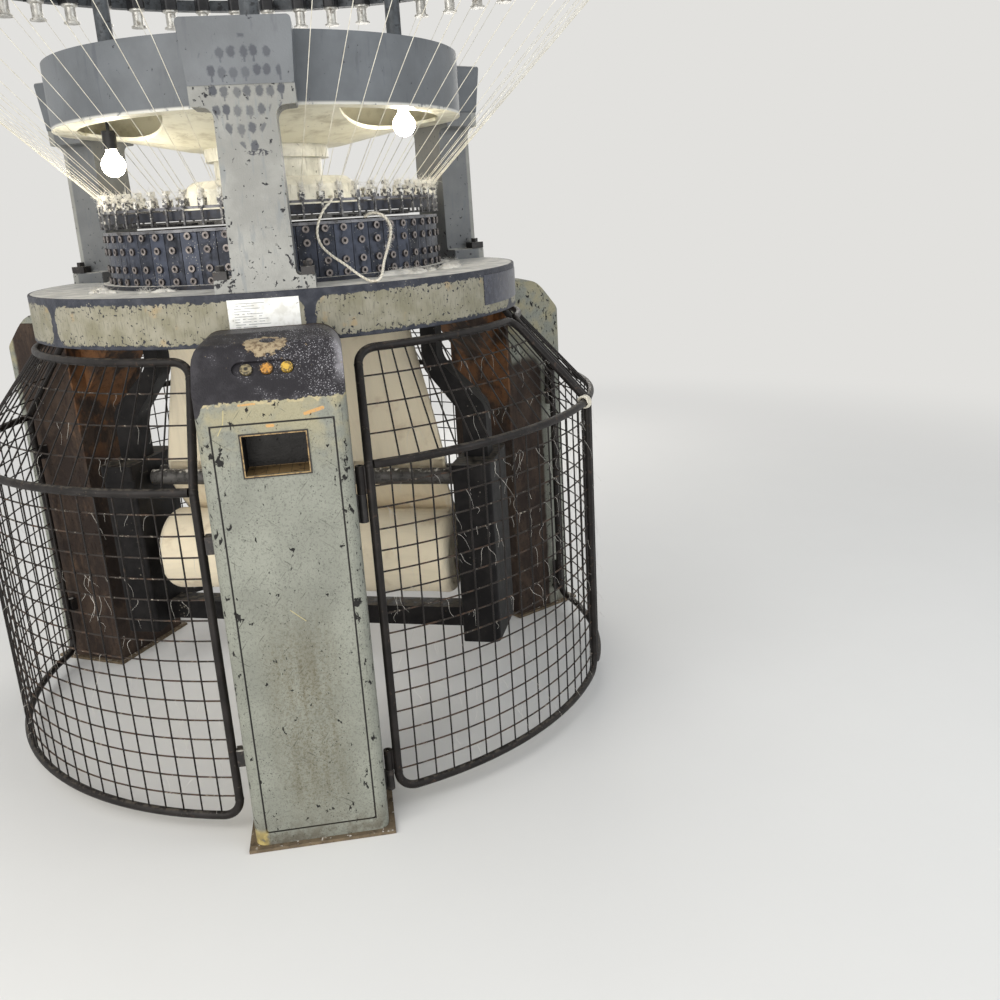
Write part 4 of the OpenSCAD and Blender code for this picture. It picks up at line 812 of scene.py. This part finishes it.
def bulb_finish():
    """Lit lamp: an opal glass that glows, a little warmer and dimmer in clouds."""
    f = Finish("lamp_glass")
    clouds = f.noise(0.03, 2)
    tone = f.blend(seen(255, 250, 236), seen(250, 240, 214), clouds)
    glow = f.blend(seen(255, 250, 236), seen(244, 232, 204), clouds)
    return f.surface(tone, 0.15 + f.noise(0.01, 2) * 0.1, Emission_Color=glow, Emission_Strength=38.0)


def plastic_finish(name, colour, dust=0.4, rough=0.35):
    """Moulded plastic or rubber: fine grain, pale dust on the top and greasy patches."""
    f = Finish(name)
    tone = f.blend(colour, shade(colour, 1.5, 0.004), f.noise(0.03, 4).rise(0.4, 0.7))
    grime = f.noise(0.010, 4, 0.6, warp=0.3).rise(0.56, 0.68)
    tone = f.blend(tone, seen(40, 36, 32), grime * 0.5)
    settled = f.upward() * f.noise(0.02, 4).rise(0.60 - dust * 0.4, 0.75 - dust * 0.4)
    tone = f.blend(tone, seen(172, 168, 160), settled * 0.8)
    relief = f.noise(0.0012, 2) * 0.4 + grime * 0.2
    return f.surface(tone, rough + grime * 0.2 + settled * 0.4, relief=relief, depth=0.0004, Specular_IOR_Level=0.3)


def button_finish(node, rim, face, share):
    """Push button: a worn face inside a brighter rim, both grimy, found from the node's own middle."""
    f = Finish(node)
    low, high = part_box(node)
    x, y, z = (low + high) / 2
    half = (high.x - low.x) / 2
    off = ((f.x - x) ** 2 + (f.y - y) ** 2 + (f.z - z) ** 2) ** 0.5
    tone = f.blend(rim, face, off.rise(half * (share + 0.12), half * share))
    grime = (f.noise(0.006, 4, 0.6, warp=0.3) + off.rise(half * 0.9, half) * 0.1).rise(0.52, 0.64)
    tone = f.blend(tone, seen(38, 32, 26), grime * 0.75)
    return f.surface(tone, 0.32 + grime * 0.3, relief=f.noise(0.003, 2) * 0.5 + grime * 0.3, depth=0.0004)


def yarn_finish():
    """Yarn: pale cotton with a fine twist and loose hairs that catch the light."""
    f = Finish("yarn")
    tone = f.blend(seen(206, 200, 184), seen(232, 228, 214), f.noise(0.02, 3).rise(0.35, 0.65))
    hairs = f.noise(0.0012, 2, 0.6, f.along((1, 1, 3)))
    return f.surface(tone, 0.75 + f.noise(0.004, 2) * 0.15, relief=hairs, depth=0.0004)


def card_finish():
    """Job card: paper in a sleeve, with plain ruled lines, a few of them broken off."""
    f = Finish("card")
    turn = (f.azimuth() * 360 + 90.8) * math.radians(1) * reach("bed_ring")
    low, high = foot("job_card"), top("job_card")
    row = (high - f.z) / CARD_LINE_STEP
    line = row.floor()
    length = f.chance(line) * 0.052 - 0.030
    stroke = abs(row.fraction() - 0.5).rise(0.16, 0.08) * (turn - length).rise(0.002, 0.0)
    page = (turn + 0.066).rise(0.0, 0.002) * abs(f.z - (low + high) / 2 - 0.004).rise(0.031, 0.030)
    broken = (turn / 0.006).floor()
    ink = stroke * page * f.chance(broken, line).rise(0.16, 0.2)
    paper = f.blend(seen(236, 236, 232), seen(214, 213, 206), f.noise(0.02, 4).rise(0.45, 0.7))
    paper = f.blend(paper, seen(128, 122, 112), f.noise(0.012, 4, warp=0.4).rise(0.66, 0.72) * 0.7)
    tone = f.blend(paper, seen(96, 98, 106), ink * 0.75)
    return f.surface(tone, 0.35 + f.noise(0.02, 3) * 0.2, relief=f.noise(0.02, 3), depth=0.0004)


def plate_finish():
    """Bare plate on the rim: dark blue enamel, chipped at its corners, with nothing written on it."""
    f = Finish("blank_plate")
    tone = f.blend(seen(34, 38, 54), seen(58, 62, 76), f.noise(0.02, 4).rise(0.40, 0.68))
    chips = f.noise(0.008, 4, 0.6).rise(0.62, 0.66)
    tone = f.blend(tone, seen(120, 118, 112), chips * 0.8)
    return f.surface(tone, 0.34 + chips * 0.3, relief=f.noise(0.01, 3) - chips * 0.4, depth=0.0005)


def knit_finish(name, colour, soil=0.3, spiral=None):
    """Knitted cloth: ribs of small V stitches from the piece's own UV map, in metres, darker streaks painted as the
    shade of soft folds, and soiling.
    """
    f = Finish(name)
    wale = bpy.context.scene.machine_cloth.wale
    u, v, _ = f.parts(f.node("ShaderNodeUVMap", {"uv_map": "cloth"}, out="UV"))
    rib = (u / wale).fraction() - 0.5
    leg = (v / (wale * 0.8) + abs(rib) * 1.2).fraction() - 0.5
    stitch = abs(rib).rise(0.5, 0.1) * (0.6 + abs(leg).rise(0.5, 0.1) * 0.4)
    tone = f.blend(shade(colour, 0.80), colour, stitch * 0.5 + 0.5)
    # Darker streaks down the cloth: painted shade of soft folds.
    streak = f.noise(0.02, 4, 0.6, f.vector(u, v * 0.12, 0.0)).rise(0.40, 0.68)
    tone = f.blend(tone, shade(colour, 0.86), streak * 0.6)
    soiled = f.noise(0.10, 5, 0.6).rise(0.62 - soil * 0.2, 0.80 - soil * 0.2)
    tone = f.blend(tone, seen(176, 150, 112), soiled * 0.4)
    if spiral:
        # On the roll's ends, dark lines between the wound layers are painted shade.
        layer = (spiral(f) / CLOTH_LAYER).fraction()
        tone = f.blend(tone, shade(colour, 0.55), abs(layer - 0.5).rise(0.2, 0.5) * 0.6)
    relief = stitch * 0.7 + f.noise(0.006, 3) * 0.3
    return f.surface(tone, 0.82 + f.noise(0.01, 2) * 0.1, relief=relief, depth=0.0006, Sheen_Weight=0.25)


def fluff_finish():
    """Loose cotton: pale fibres, greyer in places."""
    f = Finish("lint")
    colour = chosen("machine_lint", "colour")
    tone = f.blend(colour, shade(colour, 0.72), f.noise(0.03, 3).rise(0.46, 0.66))
    return f.surface(tone, 0.9 - f.noise(0.01, 2) * 0.1, Sheen_Weight=0.3)


def rope_finish():
    """Cotton rope: pale strands, darker in the grooves between them, from the piece's own UV map."""
    f = Finish("rope")
    colour = chosen("machine_rope", "colour")
    u, v, _ = f.parts(f.node("ShaderNodeUVMap", {"uv_map": "strands"}, out="UV"))
    groove = abs((u * 3).fraction() - 0.5).rise(0.30, 0.5)
    yarns = (u * 3 + v * 140).fraction() - 0.5
    tone = f.blend(colour, shade(colour, 0.78), abs(yarns).rise(0.2, 0.5) * 0.6)
    tone = f.blend(tone, seen(120, 106, 84), groove * 0.55)
    tone = f.blend(tone, seen(158, 144, 116), f.noise(0.02, 4).rise(0.52, 0.72) * 0.5)
    relief = 0.6 - groove * 0.6 + abs(yarns) * 0.4
    return f.surface(tone, 0.85 + f.noise(0.01, 2) * 0.1, relief=relief, depth=0.0006, Sheen_Weight=0.2)


# The stage


# Place, size, watts and colour of each lamp
LAMPS = {
    "key": ((-2.6, -3.2, 3.7), 3.0, 100, (1.0, 0.985, 0.96)),
    "fill": ((3.4, -2.2, 2.3), 2.6, 40, (0.9, 0.95, 1.0)),
    "low_front": ((-0.6, -4.0, 1.0), 1.8, 58, (1.0, 0.97, 0.92)),
    "back": ((0.8, 3.6, 2.4), 2.6, 60, (1.0, 0.96, 0.9)),
    "low_left": ((-2.6, -2.1, 1.1), 1.3, 15, (1.0, 0.96, 0.88)),
}


class KNITTING_OT_stage(bpy.types.Operator):
    """Places the camera of the photograph, a pale floor that fades out, soft lamps and a plain world"""

    bl_idname = "knitting.stage"
    bl_label = "Camera, floor and light"

    def execute(self, context):
        settings = context.scene.machine_stage
        self.camera(context.scene, settings)
        pale = linear(settings.floor)
        self.world(context.scene, pale)
        self.floor(pale)
        self.lamps(context.scene)
        return {"FINISHED"}

    def camera(self, scene, settings):
        """The camera from its place, its turn and tilt about the upright, and its lean about its own view."""
        forward = Vector((math.sin(settings.yaw), math.cos(settings.yaw), 0))
        side = Vector((math.cos(settings.yaw), -math.sin(settings.yaw), 0))
        ahead = forward * math.cos(settings.pitch) - Vector((0, 0, math.sin(settings.pitch)))
        head = forward * math.sin(settings.pitch) + Vector((0, 0, math.cos(settings.pitch)))
        right = side * math.cos(settings.roll) + head * math.sin(settings.roll)
        upright = head * math.cos(settings.roll) - side * math.sin(settings.roll)
        camera = bpy.data.objects.new("camera", bpy.data.cameras.new("camera"))
        camera.data.sensor_width = 36
        camera.data.lens = settings.lens
        camera.data.clip_end = 60
        turned = Matrix((right, upright, -ahead)).transposed().to_4x4()
        camera.matrix_world = Matrix.Translation(settings.eye) @ turned
        scene.collection.objects.link(camera)
        scene.camera = camera

    def world(self, scene, pale):
        """Cool soft light on the machine, and the pale backdrop for the camera, for gloss and for glass."""
        world = bpy.data.worlds.new("studio")
        world.use_nodes = True
        links, nodes = world.node_tree.links, world.node_tree.nodes
        nodes.clear()
        path = nodes.new("ShaderNodeLightPath")
        shown = path.outputs["Is Camera Ray"]
        for ray in ("Is Glossy Ray", "Is Transmission Ray"):
            either = nodes.new("ShaderNodeMath")
            either.operation = "MAXIMUM"
            links.new(shown, either.inputs[0])
            links.new(path.outputs[ray], either.inputs[1])
            shown = either.outputs[0]
        light, backdrop = nodes.new("ShaderNodeBackground"), nodes.new("ShaderNodeBackground")
        light.inputs["Color"].default_value = (0.93, 0.96, 1.0, 1.0)
        light.inputs["Strength"].default_value = 0.55
        backdrop.inputs["Color"].default_value = pale
        mix, out = nodes.new("ShaderNodeMixShader"), nodes.new("ShaderNodeOutputWorld")
        links.new(shown, mix.inputs[0])
        links.new(light.outputs[0], mix.inputs[1])
        links.new(backdrop.outputs[0], mix.inputs[2])
        links.new(mix.outputs[0], out.inputs["Surface"])
        scene.world = world

    def floor(self, pale):
        """A round floor, R (cos a, sin a), that takes shadows near the machine and fades into the backdrop."""
        f = Finish("floor")
        grain = f.blend(shade(pale, 0.97), pale, f.noise(0.3, 4))
        ground = f.node("ShaderNodeBsdfPrincipled", inputs={"Base Color": grain, "Roughness": 0.75})
        glow = f.node("ShaderNodeEmission", inputs={"Color": pale})
        far = f.radius().rise(2.2, 5.5)
        faded = f.node("ShaderNodeMixShader", inputs={0: far, 1: ground, 2: glow})
        f.node("ShaderNodeOutputMaterial", inputs={"Surface": faded})
        sides, radius, height = 96, 14, -0.0004
        a = np.arange(sides) * 2 * math.pi / sides
        rim = np.stack([np.cos(a) * radius, np.sin(a) * radius, np.full(sides, height)], -1)
        piece("floor", rim, np.arange(sides)[None], f.material, smooth=False)

    def lamps(self, scene):
        """Soft square lamps that all face the middle of the machine."""
        middle = Vector((0, 0, 1.0))
        for name, (place, size, watts, colour) in LAMPS.items():
            lamp = bpy.data.objects.new(name, bpy.data.lights.new(name, "AREA"))
            lamp.data.size = size
            lamp.data.energy = watts
            lamp.data.color = colour
            lamp.location = place
            lamp.rotation_euler = (middle - Vector(place)).to_track_quat("-Z", "Y").to_euler()
            scene.collection.objects.link(lamp)


# The pieces that the scene adds and the finishes of the CAD's own


# The rope's own points, in metres
ROPE_ROUTE = np.array([
    (158, -411, 1428.8), (163, -424, 1429.5), (166, -437, 1427), (160, -449, 1417), (143, -457, 1400),
    (129, -465, 1375), (122, -473, 1345), (130, -488, 1317), (152, -512, 1294), (182, -540, 1272),
    (212, -577, 1248), (232, -600, 1236.8), (242, -608, 1235.8), (252, -606, 1236.8), (262, -592, 1248),
    (272, -540, 1275), (285, -490, 1302), (296, -448, 1328), (300, -424, 1350), (294, -408, 1367),
    (283, -402, 1379), (270, -397, 1385), (258, -389, 1386), (248, -379, 1383), (241, -371, 1377)]) / 1000


def strand_tube(name, route, radius, twist, step, material, thick=None):
    """Three-strand rope: radius * (0.87 + 0.13 cos 3(angle - turn)), the turn going once round in each twist."""
    length = np.linalg.norm(np.diff(smoothed(route, 200), axis=0), axis=1).sum()
    line = smoothed(route, int(length / step))
    sides = 18
    a = np.arange(sides) * 2 * math.pi / sides
    run = np.linspace(0, length, len(line))[:, None]
    turn = run / twist * 2 * math.pi
    size = radius * (0.87 + 0.13 * np.cos(3 * (a[None] - turn)))
    if thick is not None:
        size = size * thick(run / length)
    rope = piece(name, tube_points(line, size, sides), capped(len(line), sides), material)
    u = (np.arange(sides + 1)[None] / sides - run / twist) + 0 * run
    grid_uv(rope, "strands", u, run + np.zeros((1, sides + 1)))
    return rope, line, length


class KNITTING_OT_rope(bpy.types.Operator):
    """Hangs the cotton rope from the feeder ring down to the bed and up to the cap ring, with lint on its end"""

    bl_idname = "knitting.rope"
    bl_label = "Hanging rope"

    def execute(self, context):
        settings = context.scene.machine_rope
        material = rope_finish()

        def swell(share):
            """The rope's last fifth frays and thickens towards its bare end."""
            return 0.97 + 0.10 * np.clip((share - 0.80) / 0.2, 0, 1)

        rope, line, length = strand_tube("hanging_rope_strands", ROPE_ROUTE, settings.diameter / 2, settings.twist,
                                         0.002, material, swell)
        rng = np.random.default_rng(11)
        hairs, from_share = 420, 0.72
        near_end = line[rng.integers(int(len(line) * from_share), len(line), hairs)]
        out = rng.normal(size=(hairs, 3))
        out /= np.linalg.norm(out, axis=1, keepdims=True)
        fuzz = fibre_mesh("rope_fuzz", near_end + out * settings.diameter * 0.4, out, 0.006, 0.00025,
                          fluff_finish(), rng, 0.8, 0.2)
        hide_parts("hanging_rope")
        for made in (rope, fuzz):
            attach(made, "frame")
        return {"FINISHED"}


# The cloth, worked out in the take-down's frame, with x along the rollers: heights, radii and half widths
CLOTH_TOP, CLOTH_BEND, NIP_HIGH, NIP_LOW = 1.352, 1.150, 0.684, 0.614
CLOTH_RADIUS, CLOTH_HALF = 0.353, 0.444
ROLL_HEIGHT, ROLL_RADIUS, ROLL_HALF = 0.400, 0.128, 0.459
SHOULDER_RADIUS, SHAFT_RADIUS = 0.102, 0.0165
# The web meets the roll at this radius, leans towards it, and its two layers stay this far off its middle
LANDING_RADIUS = 0.130
WEB_LEAN = math.asin(LANDING_RADIUS / (NIP_LOW - ROLL_HEIGHT))
LAYER_GAP = 0.0007


def takedown_place(x, y, z):
    """Turns points from the take-down's frame into the machine's."""
    c, s = math.cos(TAKEDOWN_ANGLE), math.sin(TAKEDOWN_ANGLE)
    return np.stack([x * c - y * s, x * s + y * c, z], -1)


class KNITTING_OT_cloth(bpy.types.Operator):
    """Hangs the knitted tube from the needle cylinder through the draw rollers and lays the wound roll"""

    bl_idname = "knitting.cloth"
    bl_label = "Cloth tube and roll"

    def tube(self, settings, material):
        """A tube that goes from a circle to a flat double web, and on down to the roll. With s from 0 at the
        circle to 1 at the flat line and t the angle: x = (1 - s) R cos t + s W (1 - 2t/pi), y = (1 - s) R sin t,
        drawn in by soft upright folds."""
        columns = 320
        t = np.arange(columns + 1) * 2 * math.pi / columns
        half = np.where(t <= math.pi, 1 - 2 * t / math.pi, 2 * t / math.pi - 3)
        z = np.concatenate([np.linspace(CLOTH_TOP, CLOTH_BEND, 24), np.linspace(CLOTH_BEND, NIP_HIGH, 90)[1:],
                            np.linspace(NIP_HIGH, NIP_LOW, 14)[1:]])[:, None]
        s = np.clip((CLOTH_BEND - z) / (CLOTH_BEND - NIP_HIGH), 0, 1)
        s = s * s * (3 - 2 * s) * 0.25 + s * 0.75
        x = (1 - s) * CLOTH_RADIUS * np.cos(t) + s * CLOTH_HALF * half
        y = (1 - s) * CLOTH_RADIUS * np.sin(t)
        fold = 0.5 + 0.26 * np.sin(17 * t + 5 * z) + 0.16 * np.sin(31 * t - 8 * z + 1.3)
        fold = fold + 0.08 * np.sin(53 * t + 4 * z)
        hang = np.clip((CLOTH_TOP - z) / 0.16, 0, 1) * np.clip((z - 0.66) / 0.10, 0, 1)
        pull = settings.fold_depth * fold * hang
        drawn = np.abs(y) - pull * np.minimum(1, np.abs(y) / 0.05)
        y = np.sign(y) * np.maximum(drawn, LAYER_GAP * (np.sin(t) != 0))
        x = x * (1 - 0.35 * pull)
        lean = np.linspace(0, 1, 22)[1:, None]
        web_y = LANDING_RADIUS * math.cos(WEB_LEAN) * lean
        web_z = NIP_LOW + (ROLL_HEIGHT + LANDING_RADIUS * math.sin(WEB_LEAN) - NIP_LOW) * lean
        side = np.where(t < math.pi, LAYER_GAP, -LAYER_GAP) * np.minimum(1, (1 - np.abs(half)) * 60)
        x = np.vstack([x, CLOTH_HALF * half + 0 * lean])
        y = np.vstack([y, web_y + side])
        z = np.vstack([z + 0 * t, web_z + 0 * t])
        points = takedown_place(x, y, z)[:, :-1]
        made = piece("cloth_tube", points, quads(len(points), columns, True), material)
        knit_width = 2.1
        grid_uv(made, "cloth", t / (2 * math.pi) * knit_width + 0 * z, z)
        wall = made.modifiers.new("wall", "SOLIDIFY")
        wall.thickness = 0.0011
        wall.offset = 0
        return made

    def roll(self, material, ends):
        """A wound roll: radius R less soft hollows along its length, with a rounded shoulder and a flat end on each
        side, whose layers stand out unevenly."""
        columns = 160
        a = np.arange(columns + 1) * 2 * math.pi / columns
        run = np.linspace(-1, 1, 150)[:, None]
        shoulder = np.sqrt(np.clip(1 - np.clip((np.abs(run) - 0.94) / 0.06, 0, 1) ** 2, 0, 1))
        hollow = 1 + np.sin(9 * run + 1) * 0.5 + np.sin(23 * run + a * 2) * 0.3 + np.sin(a * 3 + run * 4) * 0.4
        radius = SHOULDER_RADIUS + (ROLL_RADIUS - SHOULDER_RADIUS - 0.0022 * hollow) * shoulder
        rings = np.linspace(SHOULDER_RADIUS, SHAFT_RADIUS, 26)[1:, None]
        layers = 0.003 * np.abs(np.sin(rings * 520 + a * 0.5)) + 0.002 * np.sin(a * 2 + rings * 60)
        flat = ROLL_HALF - 0.0005 - layers
        x = np.vstack([-flat[::-1], run * ROLL_HALF + 0 * a, flat])
        r = np.vstack([rings[::-1] + 0 * a, radius, rings + 0 * a])
        points = takedown_place(x, r * np.sin(a), ROLL_HEIGHT + r * np.cos(a))[:, :-1]
        faces = quads(len(points), columns, True)[:, ::-1]
        hole = np.arange(columns)
        caps = [hole[None], ((len(points) - 1) * columns + hole)[::-1][None]]
        made = piece("cloth_roll_wound", points, [faces] + caps, material)
        made.data.materials.append(ends)
        end = np.concatenate([np.repeat(np.abs(x[:-1, 0]) > ROLL_HALF - 0.0065, columns), [True, True]])
        made.data.polygons.foreach_set("material_index", end.astype(np.int32))
        grid_uv(made, "cloth", r * a, x)
        return made

    def execute(self, context):
        settings = context.scene.machine_cloth
        colour = chosen("machine_cloth", "colour")
        tube = self.tube(settings, knit_finish("cloth", colour))

        def from_axis(f):
            """Distance from the roll's own axis."""
            across, _, up = f.turned(math.degrees(TAKEDOWN_ANGLE))
            return (across ** 2 + (up - ROLL_HEIGHT) ** 2) ** 0.5

        roll = self.roll(knit_finish("cloth_wound", colour, 0.5), knit_finish("cloth_edges", colour, 0.6, from_axis))
        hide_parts("cloth_web")
        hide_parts("cloth_roll")
        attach(tube, "cylinder")
        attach(roll, "cloth_roll")
        return {"FINISHED"}


class KNITTING_OT_paint(bpy.types.Operator):
    """Gives the painted castings, panels and columns their worn finishes"""

    bl_idname = "knitting.paint"
    bl_label = "Paint and wear"

    def execute(self, context):
        dress(pedestal_finish("pedestal_front", -90, True), "leg_front", "access_panel")
        dress(pedestal_finish("pedestal_rear_right", 30, oily_top=0.98, oily_out=0.865), "leg_rear_right")
        dress(pedestal_finish("pedestal_rear_left", 150), "leg_rear_left")
        dress(bed_finish(), "bed_ring")
        dress(column_finish(), "column_front", "column_rear_right", "column_rear_left")
        dress(crown_finish(), "crown")
        dress(cover_finish(), "dial_cover", "crown_hub")
        dress(plate_finish(), "blank_plate")
        dress(card_finish(), "job_card")
        dress(takedown_finish(), "takedown_arms", "side_box_right", "side_box_left", "takedown_beam")
        dress(tube_finish("guard_tube", paint("tube"), seen(70, 56, 46)), "guard_left", "guard_rear",
              "gate_front_leaf", "gate_rear_leaf")
        dress(wire_finish("guard_wire", paint("wire"), 0.16), "guard_hoops", "gate_front_hoops", "gate_rear_hoops")
        dress(steel_finish("ring_paint", seen(74, 78, 82), seen(40, 40, 42), 0.9, 0.2, 0.5), "yarn_ring",
              "yarn_ring_arms")
        dress(steel_finish("foot_plate", seen(104, 90, 70), seen(70, 58, 44), 0.1, 0.1, 0.75), "foot_plates")
        dress(bezel_finish(), "window_bezel")
        dress(steel_finish("black_iron", seen(38, 36, 36), seen(74, 66, 60), 0.4, 0.3, 0.45), "guard_clamps",
              "gate_hinge_pins", "column_bolts", "gear_cover")
        return {"FINISHED"}


class KNITTING_OT_metal(bpy.types.Operator):
    """Gives the cam box, rings, feeders, gears, lamps and small parts their metal and plastic finishes"""

    bl_idname = "knitting.metal"
    bl_label = "Metal and plastic"

    def execute(self, context):
        oil = seen(46, 40, 34)
        dress(drum_finish(), "cam_segments")
        dress(steel_finish("cam_rings", seen(52, 54, 62), oil, 0.9, 0.5), "cam_base_ring", "dial_cam_ring")
        dress(steel_finish("cap_ring", seen(112, 112, 116), oil, 1.1, 0.6), "cam_cap_ring", "feeder_ring")
        dress(bolt_finish(), "cam_bolts")
        dress(feeder_finish(), "yarn_feeders")
        dress(steel_finish("machined_steel", seen(140, 138, 134), oil, 0.3, 0.9, 0.3), "main_bearing", "main_gear",
              "dial_shaft", "drive_pinion", "roll_shaft")
        dress(steel_finish("draw_rollers", seen(84, 82, 80), seen(40, 38, 36), 0.3, 0.6, 0.5), "draw_roller_front",
              "draw_roller_back")
        dress(needle_finish("needle_bed", 1260), "needle_cylinder")
        dress(needle_finish("dial_needles", 1140), "needle_dial")
        dress(bulb_finish(), "lamp_bulbs")
        dress(plastic_finish("black_plastic", seen(30, 30, 32)), "lamp_holders", "storage_feeders")
        dress(steel_finish("yarn_wheels", seen(196, 194, 188), seen(120, 112, 100), 0.6, 0.5, 0.35), "feeder_wheels")
        dress(plastic_finish("belt_rubber", seen(26, 26, 27), 0.6, 0.6), "feeder_belt")
        dress(button_finish("button_left", seen(138, 126, 96), seen(44, 41, 37), 0.72), "button_left")
        dress(button_finish("button_middle", seen(190, 136, 62), seen(160, 108, 50), 0.60), "button_middle")
        # The right button's face is paler than its rim: a painted highlight.
        dress(button_finish("button_right", seen(206, 168, 72), seen(214, 178, 88), 0.60), "button_right")
        dress(yarn_finish(), "yarns")
        return {"FINISHED"}


class KNITTING_OT_lint(bpy.types.Operator):
    """Scatters loose fibres on the guards, feeders and bed, and ties the gate with a turn of old rope"""

    bl_idname = "knitting.lint"
    bl_label = "Lint and rope tie"

    def execute(self, context):
        settings = context.scene.machine_lint
        material = fluff_finish()
        self.guards(settings, material)
        self.feeders(settings, material)
        self.heaps(material)
        self.tie()
        return {"FINISHED"}

    def settle(self, made, body="frame"):
        """Fibres ride on a body."""
        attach(made, body)

    def guards(self, settings, material):
        """Fibres that hang from the wires, twice as many on the fixed guards as on a gate."""
        hung_on = [("guard_hoops", "frame", 2), ("gate_front_hoops", "gate_front", 1),
                   ("gate_rear_hoops", "gate_rear", 1)]
        for seed, (node, body, share) in enumerate(hung_on):
            rng = np.random.default_rng(40 + seed)
            roots, normals = surface_points(node, settings.on_guards * share, rng)
            heading = normals * 0.5 + [0, 0, -0.5] + rng.normal(0, 0.35, roots.shape)
            fibres = fibre_mesh("lint_" + node, roots, heading, settings.length, 0.0004, material, rng, 1.2, 0.9)
            self.settle(fibres, body)

    def feeders(self, settings, material):
        """A felt of short fibres over the tops of the feeders."""
        rng = np.random.default_rng(61)
        tops = top("yarn_feeders") - 0.022
        roots, normals = surface_points("yarn_feeders", settings.on_feeders, rng, lambda spot: spot[:, 2] > tops)
        heading = normals * [0.5, 0.5, 1] + rng.normal(0, 0.5, roots.shape)
        felt = fibre_mesh("lint_feeders", roots, heading, settings.length * 0.42, 0.0005, material, rng, 1.4, 0.2)
        self.settle(felt)

    def heaps(self, material):
        """Low heaps of lint on the bed: domes h = H (1 - r^2)^0.7 with a lumpy edge and loose fibres over them."""
        rng = np.random.default_rng(73)
        right, left, round_back = 16, 5, 9
        count, rings, sides, loose_fibres = right + left + round_back, 9, 26, 900
        low = top("bed_ring") - 0.0004
        turns = np.radians(np.concatenate([rng.uniform(-52, -18, right), rng.uniform(-150, -118, left),
                                           rng.uniform(0, 230, round_back)]))
        spans = np.where(np.arange(count) < right, rng.uniform(0.010, 0.030, count), rng.uniform(0.006, 0.018, count))
        out = rng.uniform(0.484, 0.520, count)
        out[right:right + left] = rng.uniform(0.50, 0.60, left)
        r, a = np.meshgrid(np.linspace(1, 0.04, rings), np.arange(sides) * 2 * math.pi / sides, indexing="ij")
        turn, span, away = turns[:, None, None], spans[:, None, None], out[:, None, None]
        edge = 1 + 0.25 * np.sin(2 * a + span * 900) + 0.16 * np.sin(5 * a + away * 300)
        edge = edge + 0.08 * np.sin(9 * a + turn * 40)
        lump = 1 + 0.30 * np.sin(7 * a + r * 9 + turn * 30) * r
        x, y = away + r * edge * span * 0.8 * np.sin(a), r * edge * span * 1.7 * np.cos(a)
        z = low + span * 0.42 * (1 - r * r) ** 0.7 * lump
        points = np.stack([x * np.cos(turn) - y * np.sin(turn), x * np.sin(turn) + y * np.cos(turn), z], -1)
        first = np.arange(count)[:, None] * rings * sides
        faces = (first[:, :, None] + quads(rings, sides, True)[None, :, ::-1]).reshape(-1, 4)
        cap = first + (rings - 1) * sides + np.arange(sides)[None, ::-1]
        base = first + np.arange(sides)[None]
        self.settle(piece("lint_heaps", points, [faces, cap, base], material))
        picked = points[rng.integers(0, count, loose_fibres), rng.integers(0, rings - 1, loose_fibres),
                        rng.integers(0, sides, loose_fibres)]
        heading = rng.normal(0, 1, picked.shape) * [1, 1, 0.35] + [0, 0, 0.5]
        heading /= np.linalg.norm(heading, axis=1, keepdims=True)
        self.settle(fibre_mesh("lint_on_heaps", picked, heading, 0.014, 0.0004, material, rng, 1.4, 0.2))

    def tie(self):
        """Old rope wound round the front gate's middle rail beside its end post, as an uneven helix."""
        end_post, rail_radius, rail_height = math.radians(-26.6), 0.870, 0.863
        turns_round = 4.5
        turn = np.linspace(0, 1, 120)
        a = turn * 2 * math.pi * turns_round
        size = 0.0138 + 0.0035 * np.sin(turn * 17) ** 2
        along = end_post + (turn * 0.034 + 0.005 * np.sin(a * 0.5)) / rail_radius
        out = rail_radius + size * np.cos(a)
        line = np.stack([out * np.cos(along), out * np.sin(along), rail_height + size * np.sin(a)], -1)
        rope, _, _ = strand_tube("gate_tie", line, 0.003, 0.016, 0.003, rope_finish())
        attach(rope, "gate_front")


class KNITTING_PT_panel(bpy.types.Panel):
    """Sidebar panel with the settings and the steps in order"""

    bl_idname = "KNITTING_PT_panel"
    bl_label = "Knitting machine"
    bl_space_type = "VIEW_3D"
    bl_region_type = "UI"
    bl_category = "Knitting"

    def draw(self, context):
        layout = self.layout
        for operator in STEPS:
            layout.operator(operator.bl_idname)
        for name in GROUPS:
            box = layout.box()
            group = getattr(context.scene, name)
            for prop in group.bl_rna.properties:
                if not prop.is_readonly and prop.identifier != "name":
                    box.prop(group, prop.identifier)


STEPS = [KNITTING_OT_stage, KNITTING_OT_rope, KNITTING_OT_cloth, KNITTING_OT_paint, KNITTING_OT_metal,
         KNITTING_OT_lint]
GROUPS = {"machine_paint": PaintSettings, "machine_cloth": ClothSettings, "machine_rope": RopeSettings,
          "machine_lint": LintSettings, "machine_stage": StageSettings}


def register():
    for cls in [*GROUPS.values(), *STEPS, KNITTING_PT_panel]:
        bpy.utils.register_class(cls)
    for name, group in GROUPS.items():
        setattr(bpy.types.Scene, name, PointerProperty(type=group))


def unregister():
    for name in GROUPS:
        delattr(bpy.types.Scene, name)
    for cls in [KNITTING_PT_panel, *STEPS, *GROUPS.values()]:
        bpy.utils.unregister_class(cls)


def main():
    register()
    scene = bpy.context.scene
    scene.view_settings.view_transform = "Standard"
    bpy.ops.knitting.stage()
    bpy.ops.knitting.rope()
    bpy.ops.knitting.cloth()
    bpy.ops.knitting.paint()
    bpy.ops.knitting.metal()
    bpy.ops.knitting.lint()


if __name__ == "__main__":
    main()
